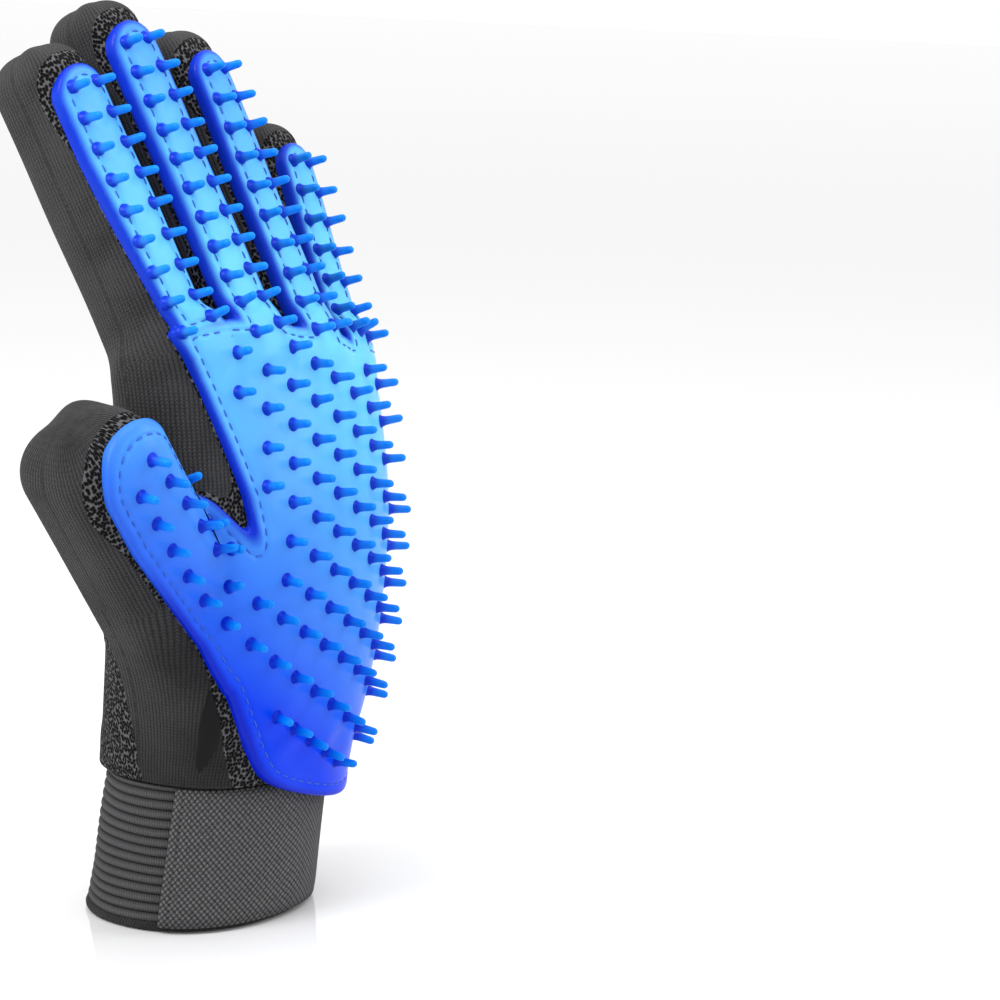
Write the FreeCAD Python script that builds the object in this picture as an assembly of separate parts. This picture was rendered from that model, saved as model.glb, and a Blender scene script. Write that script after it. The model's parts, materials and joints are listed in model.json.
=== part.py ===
import FreeCAD, Part
import math
import os

from FreeCAD import Matrix, Vector

# Five-finger grooming glove, left hand, standing on its cuff. Millimetres.
# +Z up, palm towards -Y, thumb towards -X, little finger towards +X.
os.makedirs("parts", exist_ok=True)

# ---- driving dimensions ---------------------------------------------------
WALL = 1.8                # fabric thickness
SKIN_GAP = 0.05           # clearance between a fabric panel and what is sewn on it
PAD_THICK = 2.4           # rubber moulding
SQUARENESS = 2.5          # superellipse exponent of the hand
FINGER_SQUARENESS = 3.4   # superellipse exponent of a finger
LEAN = 26.0               # fingers lean back, degrees
KNUCKLE_PLANE = 136.0     # distance of the knuckle cut from the origin along the lean
KNUCKLE_BEND = 45.0       # largest bend at a knuckle, degrees
MIDDLE_BEND = 50.0        # largest bend at a middle joint
THUMB_BASE_BEND = 18.0
THUMB_TIP_BEND = 35.0
PIVOT_DEPTH = 6.0         # hinge axis below the outer face of the pad
SLOT = 0.35               # half of the clearance between two bodies at a hinge
FACE_TOLERANCE = 0.05     # how closely the glove's extents are measured

CUFF_HEIGHT = 39.6
HEM_HEIGHT = 2.4
BAND_WALL = 2.0           # ribbed elastic
PANEL_THICK = 2.6         # woven strap over the elastic
SEAM_ANGLE = -68.0        # free end of the closure tab, degrees round the cuff from the front
TAB_HINGE_ANGLE = -26.0
PANEL_END_ANGLE = 80.0

NUB_RADIUS = 1.1
NUB_SKIRT = 1.9
NUB_HEIGHT = 6.4

# height, centre x, centre y, half width, front half depth, back half depth
HAND = [
    (24.0, 2.0, -1.0, 35.0, 30.0, 29.0),
    (38.0, 3.0, -1.6, 34.0, 29.8, 28.6),
    (52.0, 3.0, -4.5, 38.0, 29.0, 27.5),
    (75.0, 3.5, -8.0, 43.0, 27.0, 26.0),
    (105.0, 4.5, -9.5, 46.0, 25.0, 23.0),
    (135.0, 4.0, -8.0, 47.0, 22.0, 17.5),
    (160.0, 3.0, -4.5, 46.5, 19.0, 12.0),
    (184.0, 2.0, 2.0, 46.0, 17.0, 9.0),
]
CUFF = [(0.0, -1.6, 1.9, 32.5, 27.5), (CUFF_HEIGHT, 1.0, -1.5, 31.0, 26.5)]

# root centre, fan to +X, roll, length, half width, half depth, middle joint, nub rows,
# pad width, pad centre across, bare fabric beyond the pad's tip
FINGERS = {
    "index": ((-29.8, -4.0, 160.0), -6.5, -6.0, 80.0, 10.0, 12.4, 36.0, 9, 18.8, 0.5, 9.0),
    "middle": ((-7.3, -10.0, 159.0), -6.5, -3.0, 94.0, 9.9, 12.0, 40.0, 11, 16.6, -1.0, 9.5),
    "ring": ((14.0, -11.5, 157.0), -4.0, 3.0, 87.0, 10.0, 11.5, 38.0, 10, 15.6, -0.2, 9.5),
    "little": ((35.2, -7.0, 152.0), 6.0, 6.0, 65.0, 9.4, 10.5, 30.0, 7, 14.6, 0.0, 10.0),
}
THUMB = ((-25.2, -13.5, 77.3), -36.0, -8.0, 82.0, 16.4, 14.8, 58.0, 7, 24.0, 4.2, 5.0)
THUMB_START = 25.0        # base hinge, measured along the thumb

# Rim of the palm moulding, seen from the palm side (x, z): down the index side to the thumb's fork,
# round the ball of the thumb, along the heel and up the little finger's side.
INDEX_SIDE = [(-41, 172), (-34, 146), (-23, 110)]
THUMB_BALL = [(-28, 96), (-36, 80), (-33, 68), (-26, 53)]
HEEL = [(-12, 39), (8, 33), (25, 31), (34, 38)]
LITTLE_SIDE = [(42, 58), (49, 100), (50, 140), (48, 180), (-42, 180)]
PALM_OUTLINE = INDEX_SIDE + THUMB_BALL + HEEL + LITTLE_SIDE
STITCH_IN = 3.8           # stitch line inside the rim, and its width
STITCH_WIDTH = 0.7


def rot_x(deg):
    m = Matrix()
    m.rotateX(math.radians(deg))
    return m


def closed_curve(points):
    curve = Part.BSplineCurve()
    curve.interpolate(Points=points, PeriodicFlag=True)
    return Part.Wire([curve.toShape()])


def oval(cx, cy, a, front, back, power, z, count=24):
    """Superellipse with its own depth in front of and behind its centre line."""
    points = []
    for i in range(count):
        t = 2.0 * math.pi * (i + 0.5) / count
        c = math.cos(t)
        s = math.sin(t)
        x = cx + a * math.copysign(abs(c) ** (2.0 / power), c)
        depth = back if s > 0 else front
        y = cy + depth * math.copysign(abs(s) ** (2.0 / power), s)
        points.append(Vector(x, y, z))
    return closed_curve(points)


def hand_solid(offset):
    wires = []
    for z, cx, cy, a, front, back in HAND:
        wires.append(oval(cx, cy, a + offset, front + offset, back + offset, SQUARENESS, z))
    return Part.makeLoft(wires, True, False)


def cuff_solid(offset, low=0.0, high=CUFF_HEIGHT):
    z0, x0, y0, a0, b0 = CUFF[0]
    z1, x1, y1, a1, b1 = CUFF[1]
    wires = []
    for z in (low, high):
        k = (z - z0) / (z1 - z0)
        a = a0 + (a1 - a0) * k + offset
        b = b0 + (b1 - b0) * k + offset
        wires.append(oval(x0 + (x1 - x0) * k, y0 + (y1 - y0) * k, a, b, b, 2.15, z))
    return Part.makeLoft(wires, True, False)


def cuff_point(angle, offset, z):
    """Point on the cuff's outer face; angle 0 is the front, positive towards +X."""
    z0, x0, y0, a0, b0 = CUFF[0]
    z1, x1, y1, a1, b1 = CUFF[1]
    k = (z - z0) / (z1 - z0)
    t = math.radians(angle - 90.0)
    a = a0 + (a1 - a0) * k + offset
    b = b0 + (b1 - b0) * k + offset
    c = math.cos(t)
    s = math.sin(t)
    x = x0 + (x1 - x0) * k + a * math.copysign(abs(c) ** (2.0 / 2.15), c)
    y = y0 + (y1 - y0) * k + b * math.copysign(abs(s) ** (2.0 / 2.15), s)
    return Vector(x, y, z)


def sector(start, end, low, high):
    """Wedge about the cuff's middle line between two angles round its outer face."""
    z0, x0, y0 = CUFF[0][:3]
    z1, x1, y1 = CUFF[1][:3]
    steps = max(2, int(abs(end - start) / 30.0) + 1)
    wires = []
    for z in (low, high):
        k = (z - z0) / (z1 - z0)
        centre = Vector(x0 + (x1 - x0) * k, y0 + (y1 - y0) * k, z)
        ring = [centre]
        for i in range(steps + 1):
            edge = cuff_point(start + (end - start) * i / steps, PANEL_THICK, z)
            ring.append(centre + (edge - centre) * 2.0)
        ring.append(centre)
        wires.append(Part.makePolygon(ring))
    return Part.makeLoft(wires, True, True)


def prism_y(points, y0, y1):
    """Outline in the XZ plane extruded along Y."""
    loop = [Vector(x, y0, z) for x, z in points]
    loop.append(loop[0])
    return Part.Face(Part.makePolygon(loop)).extrude(Vector(0, y1 - y0, 0))


def block(x0, x1, y0, y1, z0, z1):
    return Part.makeBox(x1 - x0, y1 - y0, z1 - z0, Vector(x0, y0, z0))


class Digit:
    """A finger or thumb: its own frame (x across, y to the back, z along) and its solids."""

    def __init__(self, spec, lean):
        base, fan, roll, length, half_w, half_d, middle, rows, pad_w, pad_x, bare = spec
        self.base = Vector(*base)
        self.length = length
        self.half_w = half_w
        self.half_d = half_d
        self.middle = middle
        self.pad_w = pad_w
        self.pad_x = pad_x
        self.pad_end = length - bare
        self.rows = rows
        f = math.radians(fan)
        e = math.radians(lean)
        self.axis = Vector(math.sin(f), math.cos(f) * math.sin(e), math.cos(f) * math.cos(e))
        across = Vector(math.cos(f), -math.sin(f) * math.sin(e), -math.sin(f) * math.cos(e))
        back = self.axis.cross(across)
        r = math.radians(roll)
        self.across = across * math.cos(r) + back * math.sin(r)
        self.back = self.axis.cross(self.across)
        a, b, c, p = self.across, self.back, self.axis, self.base
        self.matrix = Matrix(a.x, b.x, c.x, p.x, a.y, b.y, c.y, p.y, a.z, b.z, c.z, p.z, 0, 0, 0, 1)

    def move(self, shape):
        moved = shape.copy()
        moved.Placement = FreeCAD.Placement(self.matrix).multiply(moved.Placement)
        return moved

    def world(self, x, y, s):
        return self.base + self.across * x + self.back * y + self.axis * s

    def tube(self, offset, start=-40.0):
        """Closed round-tipped body in the local frame, grown by offset."""
        w = self.half_w + offset
        d = self.half_d + offset
        dome = self.half_w
        straight = self.length - dome
        wires = [oval(0, 0, w, d, d, FINGER_SQUARENESS, start)]
        wires.append(oval(0, 0, w, d, d, FINGER_SQUARENESS, (start + straight) / 2.0))
        wires.append(oval(0, 0, w, d, d, FINGER_SQUARENESS, straight))
        for turn in (25.0, 45.0, 62.0, 76.0):
            t = math.radians(turn)
            rise = straight + (dome + offset) * math.sin(t)
            shrink = math.cos(t)
            power = FINGER_SQUARENESS + (2.2 - FINGER_SQUARENESS) * math.sin(t)
            wires.append(oval(0, 0, w * shrink, d * shrink, d * shrink, power, rise))
        return Part.makeLoft(wires, True, True)


def hinge_wedge(pivot, along, front, bend, width, back_reach=40.0, front_reach=26.0):
    """Clearance cut at a hinge: a slot behind the pivot and a wedge in front of it."""
    side = along.cross(front)
    side.normalize()
    open_half = SLOT + front_reach * math.tan(math.radians(bend / 2.0 + 0.8))
    ring = []
    for t, f in ((SLOT, -back_reach), (SLOT, 0), (open_half, front_reach),
                 (-open_half, front_reach), (-SLOT, 0), (-SLOT, -back_reach)):
        ring.append(pivot + along * t + front * f - side * (width / 2.0))
    ring.append(ring[0])
    return Part.Face(Part.makePolygon(ring)).extrude(side * width)


def half_space(point, normal, size=260.0):
    """Big block whose face passes through point, on the side normal points to."""
    n = Vector(normal)
    n.normalize()
    rotation = FreeCAD.Rotation(Vector(0, 0, 1), n)
    box = Part.makeBox(size, size, size, Vector(-size / 2.0, -size / 2.0, 0))
    box.Placement = FreeCAD.Placement(Vector(point), rotation)
    return box


def nub(point, normal, root=-1.2):
    """One rubber tip: a flared skirt, a round shaft and a rounded end; root is its foot's height."""
    n = Vector(normal)
    n.normalize()
    profile = [Vector(0, 0, root), Vector(NUB_SKIRT, 0, root), Vector(NUB_SKIRT, 0, 0.1),
               Vector(NUB_RADIUS, 0, 1.7), Vector(NUB_RADIUS, 0, NUB_HEIGHT - 0.8),
               Vector(NUB_RADIUS * 0.55, 0, NUB_HEIGHT), Vector(0, 0, NUB_HEIGHT), Vector(0, 0, root)]
    shape = Part.Face(Part.makePolygon(profile)).revolve(Vector(0, 0, 0), Vector(0, 0, 1), 360)
    shape.Placement = FreeCAD.Placement(Vector(point), FreeCAD.Rotation(Vector(0, 0, 1), n))
    return shape


def solid_of(shape):
    """Drop slivers and return one clean shape."""
    solids = [s for s in shape.Solids if s.Volume > 2.0]
    if not solids:
        raise ValueError("empty piece")
    if len(solids) == 1:
        return solids[0]
    return Part.makeCompound(solids)


def largest(shape):
    return max(shape.Solids, key=lambda s: s.Volume)


NODES = {}


def keep(name, shape):
    NODES[name] = shape
    print(name, len(shape.Solids), round(shape.Volume, 1), shape.isValid())


lean_along = Vector(0, math.sin(math.radians(LEAN)), math.cos(math.radians(LEAN)))
lean_front = Vector(0, -math.cos(math.radians(LEAN)), math.sin(math.radians(LEAN)))

digits = {}
for name, spec in FINGERS.items():
    digits[name] = Digit(spec, LEAN)
digits["thumb"] = Digit(THUMB, 0.0)


def pivot_of(digit, s):
    """Hinge point: below the pad's outer face, at distance s along the digit."""
    return digit.world(0, -(digit.half_d + PAD_THICK - PIVOT_DEPTH), s)


def knuckle_distance(digit):
    """Distance along the digit at which its hinge meets the knuckle plane."""
    p = pivot_of(digit, 0)
    return (KNUCKLE_PLANE - p.dot(lean_along)) / digit.axis.dot(lean_along)


hinges = {}
for name, digit in digits.items():
    if name == "thumb":
        side = digit.across
        front = digit.axis.cross(side) * -1.0
        digit.first = THUMB_START
        hinges["thumb_base"] = (pivot_of(digit, THUMB_START), digit.axis, front, THUMB_BASE_BEND)
        hinges["thumb_tip"] = (pivot_of(digit, digit.middle), digit.axis, front, THUMB_TIP_BEND)
    else:
        digit.first = knuckle_distance(digit)
        hinges[name + "_knuckle"] = (pivot_of(digit, digit.first), lean_along, lean_front, KNUCKLE_BEND)
        hinges[name + "_middle"] = (pivot_of(digit, digit.middle), lean_along, lean_front, MIDDLE_BEND)

# ---- hand ------------------------------------------------------------------
outer = hand_solid(0.0)
inner = hand_solid(-WALL)
below_knuckles = half_space(lean_along * (KNUCKLE_PLANE - SLOT), lean_along * -1.0, 400.0)
above_cuff = block(-90, 90, -60, 60, CUFF_HEIGHT + 0.1, 220)
shell = outer.cut(inner).common(below_knuckles).common(above_cuff)

# wedges in front of the knuckles
knuckle_cuts = []
for name in FINGERS:
    pivot, along, front, bend = hinges[name + "_knuckle"]
    knuckle_cuts.append(hinge_wedge(pivot, along, front, bend, 2.0 * digits[name].half_w + 2.2))
for cutter in knuckle_cuts:
    shell = shell.cut(cutter)

thumb = digits["thumb"]
base_pivot, base_along, base_front, base_bend = hinges["thumb_base"]
thumb_outer = thumb.move(thumb.tube(0.0))
thumb_inner = thumb.move(thumb.tube(-WALL))
shell = shell.cut(thumb_inner)

# room that the free thumb takes as it turns on its base hinge
free_thumb = thumb.move(thumb.tube(PAD_THICK + SLOT)).common(half_space(base_pivot, base_along))
base_axis = base_along.cross(base_front)
thumb_sweep = []
for part in range(4):
    turned = free_thumb.copy()
    turned.rotate(base_pivot, base_axis, base_bend * part / 3.0)
    thumb_sweep.append(turned)
for room in thumb_sweep:
    shell = shell.cut(room)

middle_strip = prism_y([(-24, 20), (-34, 80), (-37, 220), (40, 220), (41, 80), (27, 20)], -80, 80)
front_half = block(-90, 90, -90, -7.0, 0, 240)
back_half = block(-90, 90, -7.0, 90, 0, 240)
left_side = block(-90, 0, -90, 90, 0, 240)
right_side = block(0, 90, -90, 90, 0, 240)

keep("palm_mesh_panel", solid_of(shell.common(middle_strip).common(front_half)))
keep("back_mesh_panel", solid_of(shell.common(middle_strip).common(back_half)))
sides = shell.cut(middle_strip)
keep("radial_gusset", solid_of(sides.common(left_side)))
keep("ulnar_gusset", solid_of(sides.common(right_side)))

# ---- thumb root, standing out of the hand ---------------------------------------
base_cut = hinge_wedge(base_pivot, base_along, base_front, base_bend, 60.0)
root_side = half_space(base_pivot, base_along * -1.0)
hand_clear = hand_solid(SKIN_GAP)
thumb_root = thumb_outer.cut(thumb_inner).common(root_side).cut(base_cut).cut(hand_clear)
keep("thumb_root_gusset", largest(thumb_root))

# ---- pads ----------------------------------------------------------------------
def with_nubs(pad, spots):
    """Fuse the tips whose feet stand on this piece of pad."""
    tips = [nub(point, normal) for point, normal in spots]
    return largest(pad.multiFuse(tips)) if tips else pad


def hand_front(x, z, offset):
    """Front face point and outward normal of the hand at (x, z)."""
    rows = HAND
    k = 0
    while k < len(rows) - 2 and z > rows[k + 1][0]:
        k += 1
    u = (z - rows[k][0]) / (rows[k + 1][0] - rows[k][0])
    mix = [rows[k][i] + (rows[k + 1][i] - rows[k][i]) * u for i in range(6)]
    cx, cy, a, front = mix[1], mix[2], mix[3] + offset, mix[4] + offset
    w = max(-0.985, min(0.985, (x - cx) / a))
    y = cy - front * (1.0 - abs(w) ** SQUARENESS) ** (1.0 / SQUARENESS)
    return Vector(x, y, z)


def hand_normal(x, z):
    e = 0.6
    dx = hand_front(x + e, z, 0) - hand_front(x - e, z, 0)
    dz = hand_front(x, z + e, 0) - hand_front(x, z - e, 0)
    n = dx.cross(dz)
    n.normalize()
    return n


NUB_COLUMN = 9.4          # palm grid: column spacing, row spacing, alternate columns shifted half
NUB_ROW = 9.9
NUB_SLANT = 0.19          # the columns drift towards the thumb as they go down
NUB_MARGIN = 6.2          # distance from a nub to the edge of the moulding
# rows of nubs that follow the edge: round the thumb's root and heel, and above the heel
EDGE_ROW = [(-24, 81), (36, 42)]
HEEL_ROW = [(-15, 60), (20, 38)]

pad_skin = hand_solid(SKIN_GAP + PAD_THICK).cut(hand_clear).common(below_knuckles)
for cutter in knuckle_cuts:
    pad_skin = pad_skin.cut(cutter)
palm_pad = pad_skin.common(prism_y(PALM_OUTLINE, -80, -9.5)).cut(thumb.move(thumb.tube(SKIN_GAP)))
for room in thumb_sweep:
    palm_pad = palm_pad.cut(room)

root_pad = thumb.move(thumb.tube(SKIN_GAP + PAD_THICK).cut(thumb.tube(SKIN_GAP)))
root_strip = block(thumb.pad_x - thumb.pad_w / 2.0, thumb.pad_x + thumb.pad_w / 2.0, -40, -3, -12, 60)
root_strip = thumb.move(root_strip)
root_pad = root_pad.common(root_strip).common(root_side).cut(base_cut).cut(hand_clear)
if root_pad.Solids:
    palm_pad = palm_pad.fuse(largest(root_pad))
palm_pad = largest(palm_pad)


def edge_distance(x, z):
    """Distance from a point of the palm to the moulding's outline, negative outside."""
    best = 1e9
    inside = False
    for i in range(len(PALM_OUTLINE)):
        ax, az = PALM_OUTLINE[i - 1]
        bx, bz = PALM_OUTLINE[i]
        ex = bx - ax
        ez = bz - az
        u = max(0.0, min(1.0, ((x - ax) * ex + (z - az) * ez) / (ex * ex + ez * ez)))
        best = min(best, math.hypot(x - ax - u * ex, z - az - u * ez))
        if (az > z) != (bz > z) and x < ax + ex * (z - az) / ez:
            inside = not inside
    return best if inside else -best


def row_height(row, x):
    """Height of an edge row at x; very low to its left."""
    for i in range(len(row) - 1):
        if row[i][0] <= x <= row[i + 1][0]:
            u = (x - row[i][0]) / (row[i + 1][0] - row[i][0])
            return row[i][1] + (row[i + 1][1] - row[i][1]) * u
    return row[-1][1] if x > row[-1][0] else 1e3


def spaced(row, pitch):
    """Points every pitch millimetres along a row of straight runs."""
    points = []
    left = 0.0
    for i in range(len(row) - 1):
        ax, az = row[i]
        bx, bz = row[i + 1]
        length = math.hypot(bx - ax, bz - az)
        while left < length:
            points.append((ax + (bx - ax) * left / length, az + (bz - az) * left / length))
            left += pitch
        left -= length
    return points


def across_palm(u, z):
    """x of the point u millimetres round the palm from its middle."""
    x = 0.0
    run = 0.0
    step = 0.25 if u > 0 else -0.25
    while run < abs(u) and abs(x) < 47.0:
        run += (hand_front(x + step, z, 0) - hand_front(x, z, 0)).Length
        x += step
    return x


spots = spaced(EDGE_ROW, 9.8) + spaced(HEEL_ROW, 8.6)
for column in range(-5, 8):
    for row in range(-1, 13):
        z = 156.0 - NUB_ROW * row - (NUB_ROW / 2.0 if column % 2 else 0.0)
        x = across_palm(-1.0 + NUB_COLUMN * column - NUB_SLANT * (156.0 - z), z)
        point = hand_front(x, z, 0)
        if edge_distance(x, z) < NUB_MARGIN and x < 30 or z < row_height(EDGE_ROW, x) + 8.0:
            continue
        if point.y > -17.0 or point.dot(lean_along) > KNUCKLE_PLANE - 7.0:
            continue
        if min(math.hypot(x - px, z - pz) for px, pz in spots) > 5.5:
            spots.append((x, z))
foot = hand_solid(PAD_THICK + 3.0 * SKIN_GAP)
needles = []
for x, z in spots:
    point = hand_front(x, z, 0)
    normal = hand_normal(x, z)
    needles.append(Part.makeLine(point + normal * 7.0, point))
core = Vector(4.0, -8.0, 0)
tips = []
for edge in Part.makeCompound(needles).cut(foot).Edges:
    ends = [v.Point for v in edge.Vertexes]
    ends.sort(key=lambda v: math.hypot(v.x - core.x, v.y - core.y))
    outward = (ends[1] - ends[0]).normalize()
    tips.append(nub(ends[0] + outward * 0.1, outward, 0.0))
keep("palm_pad", palm_pad)
keep("palm_tips", Part.makeCompound(tips))

# ---- dart beside the wrist and the stitch line round the palm pad ------------------
dart_outline = prism_y([(-30, 45), (-29, 52), (-34, 67), (-35, 55)], -80, -8)
thumb_clear = thumb.move(thumb.tube(SKIN_GAP))
dart = hand_solid(SKIN_GAP + 0.8).cut(hand_clear).cut(thumb_clear).common(dart_outline)
run = INDEX_SIDE[1:]
near_side = [(x + STITCH_IN, z) for x, z in run]
far_side = [(x + STITCH_IN + STITCH_WIDTH, z) for x, z in reversed(run)]
stitch_path = near_side + far_side
keep("wrist_dart", largest(dart))
keep("pad_stitching", largest(hand_solid(PAD_THICK + 0.6).cut(foot).common(prism_y(stitch_path, -80, -9))))

# ---- cuff ----------------------------------------------------------------------------
band = cuff_solid(0.0, HEM_HEIGHT).cut(cuff_solid(-BAND_WALL, HEM_HEIGHT))
keep("cuff_elastic", largest(band))
hem = cuff_solid(0.6, 0.0, HEM_HEIGHT - SKIN_GAP).cut(cuff_solid(-BAND_WALL - 0.4, 0.0, HEM_HEIGHT - SKIN_GAP))
keep("cuff_hem", largest(hem))
strap_low = HEM_HEIGHT + 0.4
strap_high = CUFF_HEIGHT - 0.6
strap = cuff_solid(PANEL_THICK, strap_low, strap_high).cut(cuff_solid(SKIN_GAP, strap_low, strap_high))
panel = strap.common(sector(TAB_HINGE_ANGLE + 0.6, PANEL_END_ANGLE, 0, 60))
keep("woven_strap", largest(panel))
loop_skin = cuff_solid(0.8, strap_low, 38.0).cut(cuff_solid(SKIN_GAP, strap_low, 38.0))
keep("loop_patch", largest(loop_skin.common(sector(SEAM_ANGLE + 3, TAB_HINGE_ANGLE - 2, 0, 60))))
tab_sector = sector(SEAM_ANGLE, TAB_HINGE_ANGLE - 0.6, 0, 60)
hook = cuff_solid(1.8, strap_low + 1, 36.5).cut(cuff_solid(1.15, strap_low + 1, 36.5))
keep("hook_patch", largest(hook.common(sector(SEAM_ANGLE + 3, TAB_HINGE_ANGLE - 4, 0, 60))))
tab = cuff_solid(PANEL_THICK, strap_low, 38.0).cut(cuff_solid(1.85, strap_low, 38.0))
keep("closure_tab", largest(tab.common(tab_sector)))

# ---- fingers and thumb -------------------------------------------------------------------
def digit_pieces(name, digit, first, second):
    """Panels and pad of one digit, split at its two hinges."""
    p1, along1, front1, bend1 = first
    p2, along2, front2, bend2 = second
    cut1 = hinge_wedge(p1, along1, front1, bend1, 2.0 * digit.half_w + 22.0)
    cut2 = hinge_wedge(p2, along2, front2, bend2, 2.0 * digit.half_w + 22.0)
    wall = digit.move(digit.tube(0.0).cut(digit.tube(-WALL)))
    pad_end = digit.pad_end
    half = digit.pad_w / 2.0
    stadium = block(digit.pad_x - half, digit.pad_x + half, -40, -2.0, -30, pad_end - half)
    end = Part.makeCylinder(half, 38, Vector(digit.pad_x, -40, pad_end - half), Vector(0, 1, 0))
    strip = digit.tube(SKIN_GAP + PAD_THICK).cut(digit.tube(SKIN_GAP)).common(stadium.fuse(end))
    strip = digit.move(strip)
    mesh_end = digit.length - digit.half_w * 0.75
    centre = digit.half_w * 0.62
    slab = digit.move(block(-centre, centre, -60, 60, -60, mesh_end))
    front_side = digit.move(block(-60, 60, -60, 0, -60, 200))
    back_side = digit.move(block(-60, 60, 0, 60, -60, 200))
    left_side = digit.move(block(-60, 0, -60, 60, -60, 200))
    right_side = digit.move(block(0, 60, -60, 60, -60, 200))
    for part_name in ("lower", "upper"):
        if part_name == "lower":
            zone = half_space(p1, along1).common(half_space(p2, along2 * -1.0))
        else:
            zone = half_space(p2, along2)
        zone = zone.cut(cut1).cut(cut2)
        piece = wall.common(zone)
        label = name + "_" + part_name
        keep(label + "_palm_mesh", largest(piece.common(slab).common(front_side)))
        keep(label + "_back_mesh", largest(piece.common(slab).common(back_side)))
        rim = piece.cut(slab)
        if part_name == "lower":
            keep(label + "_gusset_radial", largest(rim.common(left_side)))
            keep(label + "_gusset_ulnar", largest(rim.common(right_side)))
        else:
            keep(label + "_gusset", largest(rim))
        pad = largest(strip.common(zone))
        spots = []
        row_pitch = (pad_end - 6.0 - digit.first - 2.0) / (digit.rows - 1.0)
        for row in range(digit.rows):
            s = pad_end - 6.0 - row * row_pitch
            near = min(abs(s - digit.first), abs(s - digit.middle))
            inside = digit.first < s < digit.middle if part_name == "lower" else s > digit.middle
            if not inside or near < 8.2:
                continue
            for side in (-1, 1):
                x = digit.pad_x + side * digit.pad_w * 0.26
                shrink = 1.0
                rise = s - (digit.length - digit.half_w)
                if rise > 0:
                    shrink = math.sqrt(max(0.2, 1.0 - (rise / (digit.half_w + PAD_THICK)) ** 2))
                w = (digit.half_w + PAD_THICK) * shrink
                d = (digit.half_d + PAD_THICK) * shrink
                u = min(0.95, abs(x) / w)
                y = -d * (1.0 - u ** FINGER_SQUARENESS) ** (1.0 / FINGER_SQUARENESS)
                spots.append((digit.world(x, y + 0.1, s), digit.back * -1.0))
        keep(label + "_pad", with_nubs(pad, spots))


for name, digit in digits.items():
    if name == "thumb":
        digit_pieces(name, digit, hinges["thumb_base"], hinges["thumb_tip"])
    else:
        digit_pieces(name, digit, hinges[name + "_knuckle"], hinges[name + "_middle"])

# ---- write -------------------------------------------------------------------------------------
def extents(shapes):
    """Lowest and highest corner of all shapes, measured on their faces."""
    points = []
    for shape in shapes:
        points += shape.tessellate(FACE_TOLERANCE)[0]
    low = Vector(min(p.x for p in points), min(p.y for p in points), min(p.z for p in points))
    high = Vector(max(p.x for p in points), max(p.y for p in points), max(p.z for p in points))
    return low, high


# the origin lies on the resting plane under the middle of the glove
low_corner, high_corner = extents(NODES.values())
middle = (low_corner + high_corner) * 0.5
shift = Vector(-middle.x, -middle.y, 0)
for name, shape in NODES.items():
    shape.translate(shift)
    shape.exportStep("parts/" + name + ".step")
print("shift", round(shift.x, 4), round(shift.y, 4))
print("box", [round(v, 2) for v in low_corner + shift], [round(v, 2) for v in high_corner + shift])
for name, (pivot, along, front, bend) in hinges.items():
    side = along.cross(front)
    print("hinge", name, [round(v, 3) for v in (pivot + shift)], [round(v, 4) for v in side], bend)
low = cuff_point(TAB_HINGE_ANGLE, PANEL_THICK, 0.0) + shift
high = cuff_point(TAB_HINGE_ANGLE, PANEL_THICK, CUFF_HEIGHT) + shift
print("hinge tab", [round(v, 3) for v in low], [round(v, 4) for v in (high - low)])
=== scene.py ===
"""Five-finger grooming glove, left hand: knit and mesh skin, rubber moulding with soft tips,
ribbed cuff and strap."""
import math
from collections import namedtuple
import bpy
import numpy as np
from mathutils import Matrix, Vector
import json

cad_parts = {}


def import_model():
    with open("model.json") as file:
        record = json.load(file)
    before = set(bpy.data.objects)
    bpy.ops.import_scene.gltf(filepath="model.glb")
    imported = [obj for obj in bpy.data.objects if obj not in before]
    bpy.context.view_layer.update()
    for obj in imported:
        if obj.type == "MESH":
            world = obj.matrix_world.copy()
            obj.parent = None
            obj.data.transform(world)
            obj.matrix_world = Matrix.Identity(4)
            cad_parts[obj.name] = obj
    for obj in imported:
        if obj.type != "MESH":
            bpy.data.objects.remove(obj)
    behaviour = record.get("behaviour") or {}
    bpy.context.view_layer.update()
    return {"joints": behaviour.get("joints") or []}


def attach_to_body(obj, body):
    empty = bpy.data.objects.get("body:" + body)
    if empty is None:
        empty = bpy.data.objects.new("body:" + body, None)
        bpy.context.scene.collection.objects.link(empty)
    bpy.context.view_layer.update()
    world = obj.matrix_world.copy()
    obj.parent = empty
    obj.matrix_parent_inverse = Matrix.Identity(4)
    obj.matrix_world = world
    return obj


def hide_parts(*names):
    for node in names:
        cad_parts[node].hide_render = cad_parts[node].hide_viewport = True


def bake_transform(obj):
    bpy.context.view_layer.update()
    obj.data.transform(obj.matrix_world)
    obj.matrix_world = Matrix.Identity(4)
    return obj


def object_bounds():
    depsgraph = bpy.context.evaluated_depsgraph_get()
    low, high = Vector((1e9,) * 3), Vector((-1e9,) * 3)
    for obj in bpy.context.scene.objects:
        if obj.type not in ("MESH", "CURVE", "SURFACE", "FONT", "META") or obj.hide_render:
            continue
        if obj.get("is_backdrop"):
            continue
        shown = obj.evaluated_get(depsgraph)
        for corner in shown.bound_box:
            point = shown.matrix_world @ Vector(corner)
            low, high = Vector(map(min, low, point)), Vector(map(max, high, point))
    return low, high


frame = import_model()
JOINTS = {j["name"]: j for j in frame["joints"]}

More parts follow.
